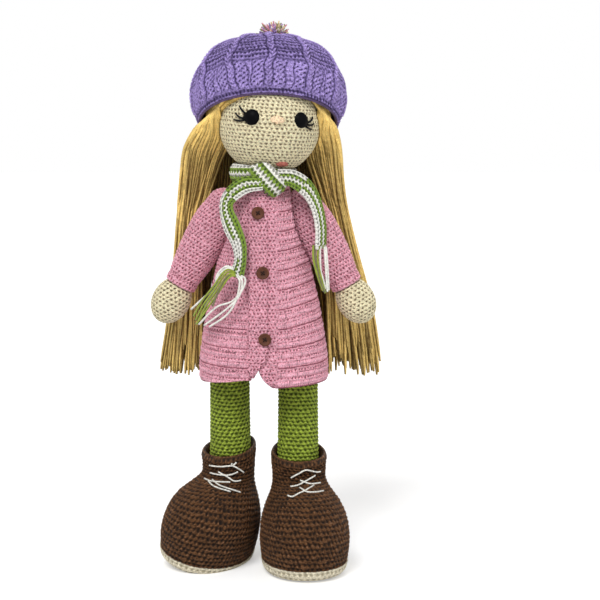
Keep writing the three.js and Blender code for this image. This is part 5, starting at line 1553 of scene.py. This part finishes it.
class DOLL_OT_buttons(bpy.types.Operator):
    """Turns the three buttons, each with a raised rim and thread through its holes"""

    bl_idname = "doll.buttons"
    bl_label = "Buttons"

    def execute(self, context):
        wood = hard_material("button_wood", tone("button"), 0.6, 260, 0.09, shine=0.25)
        thread = yarn_material("button_thread", linear("2b1812"), dark=0.5, roughness=0.8, stitched=False)
        across = np.array([1.0, 0, 0])
        t = np.linspace(-1, 1, 9)
        for name, (side, rise) in BUTTON_SHARES.items():
            side, height = side * BAND_LAP_RIGHT, HEM_HEIGHT + rise * COAT_LENGTH
            up, middle, down = (coat_front(side, height + step, BAND_WALL)
                                for step in (BUTTON_RADIUS, 0, -BUTTON_RADIUS))
            slope = unit(up - down)
            outward = np.array([0, -slope[2], slope[1]])
            above = np.cross(across, outward)
            seat = middle + outward * (SEAM + 0.2)
            points = disc(seat, across, above, outward, *np.array(BUTTON_PROFILE).T, 40)
            Piece().grid(points).build(f"button_disc_{name}", wood, "torso", f"button_{name}")
            crossed = Piece()
            for lean in (0.6, 0.6 + pi / 2):
                path = (seat + (t * 1.7 * cos(lean))[:, None] * across
                        + (t * 1.7 * sin(lean))[:, None] * above
                        + (1.35 + 0.7 * (1 - t**4))[:, None] * outward)
                crossed.tubes(path, 0.5, 7)
            crossed.build(f"button_thread_{name}", thread, "torso", slot="black_thread")
        return {"FINISHED"}


# Arms


def arm_placed(points, sign):
    """Points of a hanging arm leaned out by its splay and moved to its shoulder, or mirrored."""
    return (turned(points, -ARM_SPLAY, 1) + (SHOULDER_WIDTH, 0, SHOULDER_HEIGHT)) * (sign, 1, 1)


class DOLL_OT_arms(bpy.types.Operator):
    """Crochets the arms with their round hands, the sleeves and the cuffs"""

    bl_idname = "doll.arms"
    bl_label = "Arms and sleeves"

    def execute(self, context):
        def inside(knit, rows):
            """Plain rings of (distance, radius) rows with as many columns as the crochet."""
            rows = np.array(rows)
            return ringed(rows[:, :1], rows[:, 1:], circle(knit[0].shape[1]))

        cuff_start = SLEEVE_LENGTH + SEAM
        cuff_end = cuff_start + CUFF_LENGTH
        hand_middle = SLEEVE_LENGTH + CUFF_LENGTH + HAND_HALF_LENGTH - WRIST_RADIUS / 2
        sleeve_rows = blended(SLEEVE_SHARES, np.linspace(0, 1, 14)) * (SLEEVE_LENGTH, SLEEVE_RADIUS)
        arm_rows = sleeve_rows - (0, SLEEVE_WALL + SEAM)
        turn = np.linspace(asin(WRIST_RADIUS / HAND_RADIUS), pi - radians(5), 22)
        hand = np.stack([hand_middle - HAND_HALF_LENGTH * np.cos(turn), HAND_RADIUS * np.sin(turn)], -1)
        hand = hand[hand[:, 0] > cuff_end + SEAM]
        profile = np.concatenate([
            dome(arm_rows[0, 1]), arm_rows[arm_rows[:, 1] > WRIST_RADIUS],
            [[cuff_start, WRIST_RADIUS], [cuff_end, WRIST_RADIUS]], hand])[::-1]
        surface = turned_surface(profile)
        travelled = lengths(profile, 0)
        share = float(travelled[len(hand) + 1] / travelled[-1])
        arm = knitted(surface, gauge("skin"), 0.75, 0, share, pattern=skin_vee)
        hidden = surface(np.linspace(share, 1, 16)[1:, None], circle(arm[0].shape[1])[None, :])
        arm = with_rows(arm, hidden, 0.5)

        surface = turned_surface(np.concatenate([dome(sleeve_rows[0, 1]), sleeve_rows])[::-1])
        sleeve = knitted(surface, SLEEVE_GAUGE, 1, fine=6, pattern=coat_vee)
        rows = [(SLEEVE_LENGTH - back, WRIST_RADIUS + out) for back, out in SLEEVE_MOUTH]
        sleeve = with_rows(sleeve, inside(sleeve, rows), 0.3, first=True)

        reach = WRIST_RADIUS + SEAM + CUFF_WALL
        rim = [(cuff_end, WRIST_RADIUS + 1), (cuff_end + 0.3, reach - 1.2), (cuff_end - 0.6, reach),
               (cuff_start + 0.6, reach + 0.3), (cuff_start - 0.4, reach - 0.8)]
        cuff = knitted(turned_surface(rim), CUFF_GAUGE, 0.9, fine=6, pattern=coat_vee)
        bore = inside(cuff, [(cuff_start, WRIST_RADIUS + 0.5), (cuff_end, WRIST_RADIUS + 0.5)])
        cuff = with_rows(cuff, bore, 0.3)

        for side, sign in SIGNS.items():
            def placed(part, knit, material, ends="fan"):
                piece = Piece().knit(arm_placed(knit[0], sign), *knit[1:], ends)
                return piece.build(f"{part}_knit_{side}", yarn(material), f"{side}_arm", f"{part}_{side}")

            placed("arm", arm, "skin")
            placed("sleeve", sleeve, "coat")
            placed("cuff", cuff, "coat", "join")
        return {"FINISHED"}


# Legs and boots


def boot_placed(points, side):
    """Points of an upright boot turned out by its foot's angle, under the leaning leg's ankle."""
    lean, toe_out, _ = FEET[side]
    back = -(HIP_HEIGHT - 0.8 * RIM_HEIGHT) * tan(lean)
    return (turned(points, toe_out, 2) + (HIP_SPACING, back, 0)) * (SIGNS[side], 1, 1)


def rolled(points, roll):
    """Points of the foot leaned over its outer edge; the lean fades up the shaft as a smooth step."""
    side, forward, rise = points[..., 0], points[..., 1], points[..., 2] - BOOT_HALF_WIDTH
    turn = roll * (1 - smooth(np.clip(rise / (RIM_HEIGHT / 3), 0, 1)))
    return stacked(side * np.cos(turn) - rise * np.sin(turn), forward,
                   BOOT_HALF_WIDTH + side * np.sin(turn) + rise * np.cos(turn))


def boot_surface(place, angle, out=0.0):
    """The boot's rounds: each runs from a front line to a back line, egg-shaped across."""
    front, front_rise, back, back_rise, width = columns(BOOT_SHARES, place)
    ends = (-front * TOE_REACH, back * HEEL_REACH), (front_rise * RIM_HEIGHT, back_rise * RIM_HEIGHT)
    middle, half = ([(a + sign * b) / 2 for a, b in ends] for sign in (1, -1))
    stretch = 1 + out / np.hypot(*half)
    across = (width * BOOT_HALF_WIDTH + out) * np.sin(angle) * (1 + EGG_SHARE * np.cos(angle))
    return stacked(across, *(m + h * np.cos(angle) * stretch for m, h in zip(middle, half)))


def sole_place(angle):
    """The place, for each angle, at which the boot's side reaches the top of the sole."""
    dense = np.linspace(0, 0.5, 120)
    height = boot_surface(dense[:, None], np.ravel(angle)[None, :])[..., 2]
    found = np.array([np.interp(SOLE_DEPTH, column, dense) for column in height.T])
    return found.reshape(np.shape(angle))


class DOLL_OT_legs(bpy.types.Operator):
    """Crochets the two stuffed legs"""

    bl_idname = "doll.legs"
    bl_label = "Legs"

    def execute(self, context):
        reach = (HIP_HEIGHT - LEG_FOOT_HEIGHT) / cos(STRIDE)
        body = blended(LEG_SHARES, np.linspace(0, 1, 12)) * (reach, 1)
        body[:, 1] = LEG_RADIUS + (ANKLE_RADIUS - LEG_RADIUS) * body[:, 1]
        foot = [[0.97 * reach, 0.85 * ANKLE_RADIUS], [reach, 0.55 * ANKLE_RADIUS]]
        surface = turned_surface(np.concatenate([dome(LEG_RADIUS), body, foot])[::-1])
        points, height, uv = knitted(surface, gauge("leg"), 1, pattern=leg_vee)
        for side, (lean, _, _) in FEET.items():
            placed = (turned(points, -lean, 0) + (HIP_SPACING, 0, HIP_HEIGHT)) * (SIGNS[side], 1, 1)
            leg = Piece().knit(placed, height, uv)
            leg.build(f"leg_knit_{side}", yarn("leg"), f"{side}_leg", f"leg_{side}")
        return {"FINISHED"}


class DOLL_OT_boots(bpy.types.Operator):
    """Crochets the boots with their cream soles, and threads their laces"""

    bl_idname = "doll.boots"
    bl_label = "Boots"

    def execute(self, context):
        def upper(place, angle):
            start = sole_place(angle)
            return boot_surface(start + (1 - start) * place, angle)

        def sole(place, angle):
            return boot_surface(sole_place(angle) * place, angle, 0.6)

        points, height, uv = knitted(upper, gauge("boot"), 1.2, pattern=boot_vee)
        angles = circle(points.shape[1])
        share, rise, front_rise = (column[:, None] for column in np.array(BOOT_LIP).T)
        middle = points[-1].mean(0)
        lip = middle + (boot_surface(np.ones((1, 1)), angles[None, :]) - middle) * share[..., None]
        lip[..., 2] += rise + front_rise * (1 + np.cos(angles)) / 2
        step = np.arange(len(BOOT_LIP))[:, None]
        over = uv[-1:] + np.stack([0 * step, 0.3 * (1 + step)], -1)
        # The lip's rows grow darker as they turn down into the boot: painted shade inside its opening.
        shade = boot_vee(over[:, :-1, 0], over[:, :-1, 1]) * np.clip(1.3 - step / 8, 0.1, 1)
        points, height, uv = (np.concatenate(pair) for pair in ((points, lip), (height, shade), (uv, over)))
        sole_points, sole_height, sole_uv = knitted(sole, SOLE_GAUGE, 0.8, fine=6)

        for side, (_, _, roll) in FEET.items():
            leg = f"{side}_leg"
            boot = Piece().knit(boot_placed(rolled(points, roll), side), height, uv)
            boot.build(f"boot_knit_{side}", yarn("boot"), leg, f"boot_upper_{side}")
            flat = rolled(sole_points, roll)
            flat[..., 2] = np.maximum(flat[..., 2], 0)
            Piece().knit(boot_placed(flat, side), sole_height, sole_uv).build(
                f"sole_knit_{side}", yarn("sole"), leg, f"boot_sole_{side}")
            laces = Piece()
            for route in LACE_ROUTES[side]:
                place, angle = blended(route, np.linspace(0, 1, 9 * len(route))).T
                path = boot_placed(rolled(boot_surface(place, angle, 1.5), roll), side)
                laces.tubes(path, LACE_RADIUS, reference=(0, 1, 0), twist=0.5)
            laces.build(f"lace_cords_{side}", yarn("lace"), leg, f"laces_{side}")
        return {"FINISHED"}


# Scarf


def stripe_tint(share, across):
    """Which yarn a scarf stitch is worked in, 0 for green or 1 for white.

    The share runs across the scarf: a plain white edge, then green, white and green rows.
    The rows meet in teeth: a triangle wave of the stitch count."""
    tooth = share + 0.07 * (4 * np.abs(across % 1 - 0.5) - 1)
    return np.where((share < 0.25) | ((tooth > 0.46) & (tooth < 0.66)), 1.0, 0.0)


def off_face(points):
    """Points kept clear of the mouth wherever the head turns."""
    return off_head(points - HEAD_MIDDLE, 2.3) + HEAD_MIDDLE


def tail_frames(route, count):
    """The middle, half width and directions of a scarf tail at even places down its route."""
    side, forward, rise, width = columns(route, np.linspace(0, 1, count))
    point = stacked(side * COAT_REACH[0], -forward * COAT_REACH[1], HEM_HEIGHT + rise * COAT_LENGTH)
    along = unit(np.gradient(point, axis=0))
    outward = stacked(point[:, 0] / COAT_REACH[0], point[:, 1] / COAT_REACH[1], 0 * side)
    outward = unit(outward - along * np.sum(outward * along, 1, keepdims=True))
    return point, width * SCARF_WIDTH / 2, along, outward, np.cross(outward, along)


class DOLL_OT_scarf(bpy.types.Operator):
    """Crochets the striped scarf: its wrap, its knot, its two tails and their fringes"""

    bl_idname = "doll.scarf"
    bl_label = "Scarf"

    def execute(self, context):
        green_and_white = stripe_material("scarf_yarn", tone("scarf_green"), tone("lace"))
        ends = mixed_material("fringe_yarn", [tone("lace"), linear("8c9a2e"), linear("6d6a45")])
        stitch, relief = size("scarf_stitch"), size("relief") * 0.85

        def striped(points, height, across, rows, tint, name, node, body="torso", ends="fan"):
            uv = np.stack([across, rows], -1)
            return Piece().grid(points, height, uv, tint, ends).build(name, green_and_white, body, node)

        def raised(base, height):
            """Points moved along the surface's normal by the height of its stitches."""
            return base + normals(base) * (relief * (height - 0.5))[..., None]

        around, section = circle(420)[:, None], circle(100)[None, :]
        front = np.clip(np.cos(around), 0, 1)
        reach = WRAP_RADIUS + 1.5 * front + WRAP_HALF[0] * np.cos(section)
        base = off_face(stacked(reach * np.sin(around), -reach * np.cos(around),
                                WRAP_HEIGHT + WRAP_HALF[1] * np.sin(section) + 1.5 * front))
        rows = section / TURN * 12 + 0 * around
        across = around / TURN * 44 + 0.5 * np.floor(rows)
        height = vee(across, rows, rough=0.3)
        tint = stripe_tint((1 - np.sin(section)) / 2, across)
        wrap = striped(raised(base, height), height, across, rows, tint,
                       "scarf_wrap_knit", "scarf_wrap", ends="join")

        share, turn = np.linspace(-1, 1, 90)[:, None], circle(120)[None, :]
        taper = np.sqrt(1 - 0.96 * np.abs(share) ** 5)
        base = stacked(share * KNOT_SIZE[0], -KNOT_SIZE[1] * np.cos(turn) * taper + 5.0 * share**2,
                       KNOT_SIZE[2] * np.sin(turn) * taper * (0.86 + 0.1 * share**2))
        up = base[..., 2] / KNOT_SIZE[2]
        across, lane = base[..., 0] / stitch, (up + 1) / 2 * 5
        height = vee(across + 0.5 * np.floor(lane), lane, rough=0.3)
        points = off_face(turned(raised(base, height), KNOT_SLANT, 1) + (
            KNOT_SIDE, -WRAP_RADIUS - WRAP_HALF[0] - KNOT_SIZE[1], WRAP_HEIGHT - WRAP_HALF[1] + KNOT_LIFT))
        knot = striped(points, height, across, lane, stripe_tint((1 - up) / 2, across),
                       "scarf_knot_knit", "scarf_knot")

        for side, route in TAIL_SHARES.items():
            held = None if side == "left" else "torso"
            point, half, along, outward, sideways = tail_frames(route, 190)
            width = np.linspace(-1, 1, 30)
            share = np.concatenate([width, width[::-1]])
            depth = np.sqrt(1 - 0.75 * share**4) * np.repeat([1, -1], 30) * SCARF_WALL / 2
            base = (point[:, None] + sideways[:, None] * (half[:, None] * share)[..., None]
                    + outward[:, None] * depth[None, :, None])
            travelled = lengths(point, 0)[:, None]
            rows = np.clip((share + 1) / 2 * 5 + 0 * travelled, 0.02, 4.98)
            across = travelled / stitch + 0 * rows
            height = vee(across + 0.5 * np.floor(rows), rows, rough=0.4)
            out = outward[:, None] * np.sign(depth)[None, :, None]
            points = off_face(base + out * (relief * (height - 0.5))[..., None])
            done = travelled / travelled[-1]
            inner = (1 + SIGNS[side] * share) / 2
            tint = stripe_tint(np.where((done < 0.3) == (side == "left"), 1 - inner, inner), across)
            if side == "right":
                tint = np.where((done > 0.7) & (done < 0.86) & (inner > 0.3), 1.0, tint)
            tail = striped(points, height, across, rows, tint,
                           f"scarf_tail_knit_{side}", f"scarf_tail_{side}", held, "zip")

            fringe = Piece()
            for kind, route_points in FRINGE_ROUTES[side]:
                x, forward, z = columns(route_points, np.linspace(0, 1, 40))
                fringe.tubes(stacked(x, -forward, z), 0.78, 8, (kind + 0.5) / 3,
                             reference=(0, 1, 0.05), twist=0.5)
            root = point[-1] + along[-1] * (SEAM + 1.0)
            knots = (root + sideways[-1] * (np.linspace(-0.8, 0.8, 5) * half[-1])[:, None])[:, None]
            knots = knots + along[-1] * np.linspace(-1.8, 1.4, 6)[None, :, None]
            fringe.tubes(knots, [0.9, 1.25, 1.4, 1.4, 1.2, 0.8], 8, [0.1, 0.4, 0.1, 0.4, 0.1],
                         reference=(0, 1, 0.05))
            hanging = fringe.build(f"fringe_strands_{side}", ends, held, f"scarf_fringe_{side}")
            if side == "left":
                for piece in (tail, hanging):
                    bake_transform(piece)
        return {"FINISHED"}


# Hidden parts and stage


class DOLL_OT_inner_parts(bpy.types.Operator):
    """Gives the wooden dowel, the eye washers and the insoles their finishes"""

    bl_idname = "doll.inner_parts"
    bl_label = "Inner parts"

    def execute(self, context):
        for slot, code, roughness, scale, strength, nodes in INNER_FINISHES:
            finish = hard_material(slot, linear(code), roughness, scale, strength)
            for name in nodes:
                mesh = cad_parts[name].data
                mesh.materials.clear()
                mesh.materials.append(finish)
        return {"FINISHED"}


class DOLL_OT_stage(bpy.types.Operator):
    """Sets the pale floor, the soft lights and the camera"""

    bl_idname = "doll.stage"
    bl_label = "Stage"

    def execute(self, context):
        scene = bpy.context.scene
        scene.view_settings.view_transform = "Standard"

        nodes = Nodes(bpy.data.materials.new("floor_paper"))
        nodes.shader.inputs["Base Color"].default_value = (0.8, 0.8, 0.8, 1)
        nodes.shader.inputs["Roughness"].default_value = 1.0
        nodes.shader.inputs["Specular IOR Level"].default_value = 0.0
        strength = nodes.math("MULTIPLY", nodes.seen(), FLOOR_GLOW)
        glow = nodes.node("ShaderNodeEmission", {"Strength": strength})
        both = nodes.node("ShaderNodeAddShader", {0: nodes.shader.outputs[0], 1: glow.outputs[0]})
        nodes.tree.links.new(both.outputs[0], nodes.tree.nodes["Material Output"].inputs["Surface"])
        mesh = bpy.data.meshes.new("floor")
        corners = [(x * FLOOR_REACH, y * FLOOR_REACH, 0) for x, y in ((-1, -1), (1, -1), (1, 1), (-1, 1))]
        mesh.from_pydata(corners, [], [(0, 1, 2, 3)])
        mesh.materials.append(nodes.owner)
        added("floor", mesh)

        scene.world = bpy.data.worlds.new("studio")
        sky = Nodes(scene.world, "Background")
        white = (1, 1, 1, 1)
        sky.shader.inputs["Color"].default_value = white
        sky.shader.inputs["Strength"].default_value = SKY_LIGHT
        backdrop = sky.node("ShaderNodeBackground", {"Color": white, "Strength": 1.0})
        values = {"Fac": sky.seen(), 1: sky.shader.outputs[0], 2: backdrop.outputs[0]}
        mix = sky.node("ShaderNodeMixShader", values)
        sky.tree.links.new(mix.outputs[0], sky.tree.nodes["World Output"].inputs["Surface"])

        for name, place, spread, power in SUNS:
            lamp = bpy.data.lights.new(name, "SUN")
            lamp.angle = spread
            lamp.energy = power
            holder = added(name, lamp)
            holder.rotation_mode = "QUATERNION"
            holder.rotation_quaternion = Vector(place).to_track_quat("Z", "Y")

        camera = bpy.data.cameras.new("camera")
        camera.lens = CAMERA_LENS
        camera.sensor_width = CAMERA_SENSOR
        scene.camera = added("camera", camera)
        scene.camera.location = metres(*CAMERA_PLACE)
        scene.camera.rotation_euler = (pi / 2 - CAMERA_PITCH, 0, 0)
        return {"FINISHED"}


OPERATORS = (
    DOLL_OT_stage, DOLL_OT_inner_parts, DOLL_OT_torso, DOLL_OT_head, DOLL_OT_eyes, DOLL_OT_hair,
    DOLL_OT_beret, DOLL_OT_pompom, DOLL_OT_coat, DOLL_OT_buttons, DOLL_OT_arms, DOLL_OT_legs,
    DOLL_OT_boots, DOLL_OT_scarf,
)


class DOLL_PT_panel(bpy.types.Panel):
    """Lists the doll's pieces, sizes and colours"""

    bl_idname = "DOLL_PT_panel"
    bl_label = "Crocheted doll"
    bl_space_type = "VIEW_3D"
    bl_region_type = "UI"
    bl_category = "Doll"

    def draw(self, context):
        for group in (context.scene.doll_sizes, context.scene.doll_colours):
            for name in group.__annotations__:
                self.layout.prop(group, name)
        for operator in OPERATORS:
            self.layout.operator(operator.bl_idname)


def register():
    for kind in (DollSizes, DollColours, *OPERATORS, DOLL_PT_panel):
        bpy.utils.register_class(kind)
    bpy.types.Scene.doll_sizes = bpy.props.PointerProperty(type=DollSizes)
    bpy.types.Scene.doll_colours = bpy.props.PointerProperty(type=DollColours)


def unregister():
    del bpy.types.Scene.doll_sizes
    del bpy.types.Scene.doll_colours
    for kind in (DOLL_PT_panel, *reversed(OPERATORS), DollColours, DollSizes):
        bpy.utils.unregister_class(kind)


def main():
    register()
    for operator in OPERATORS:
        group, name = operator.bl_idname.split(".")
        getattr(getattr(bpy.ops, group), name)()
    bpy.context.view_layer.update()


if __name__ == "__main__":
    main()
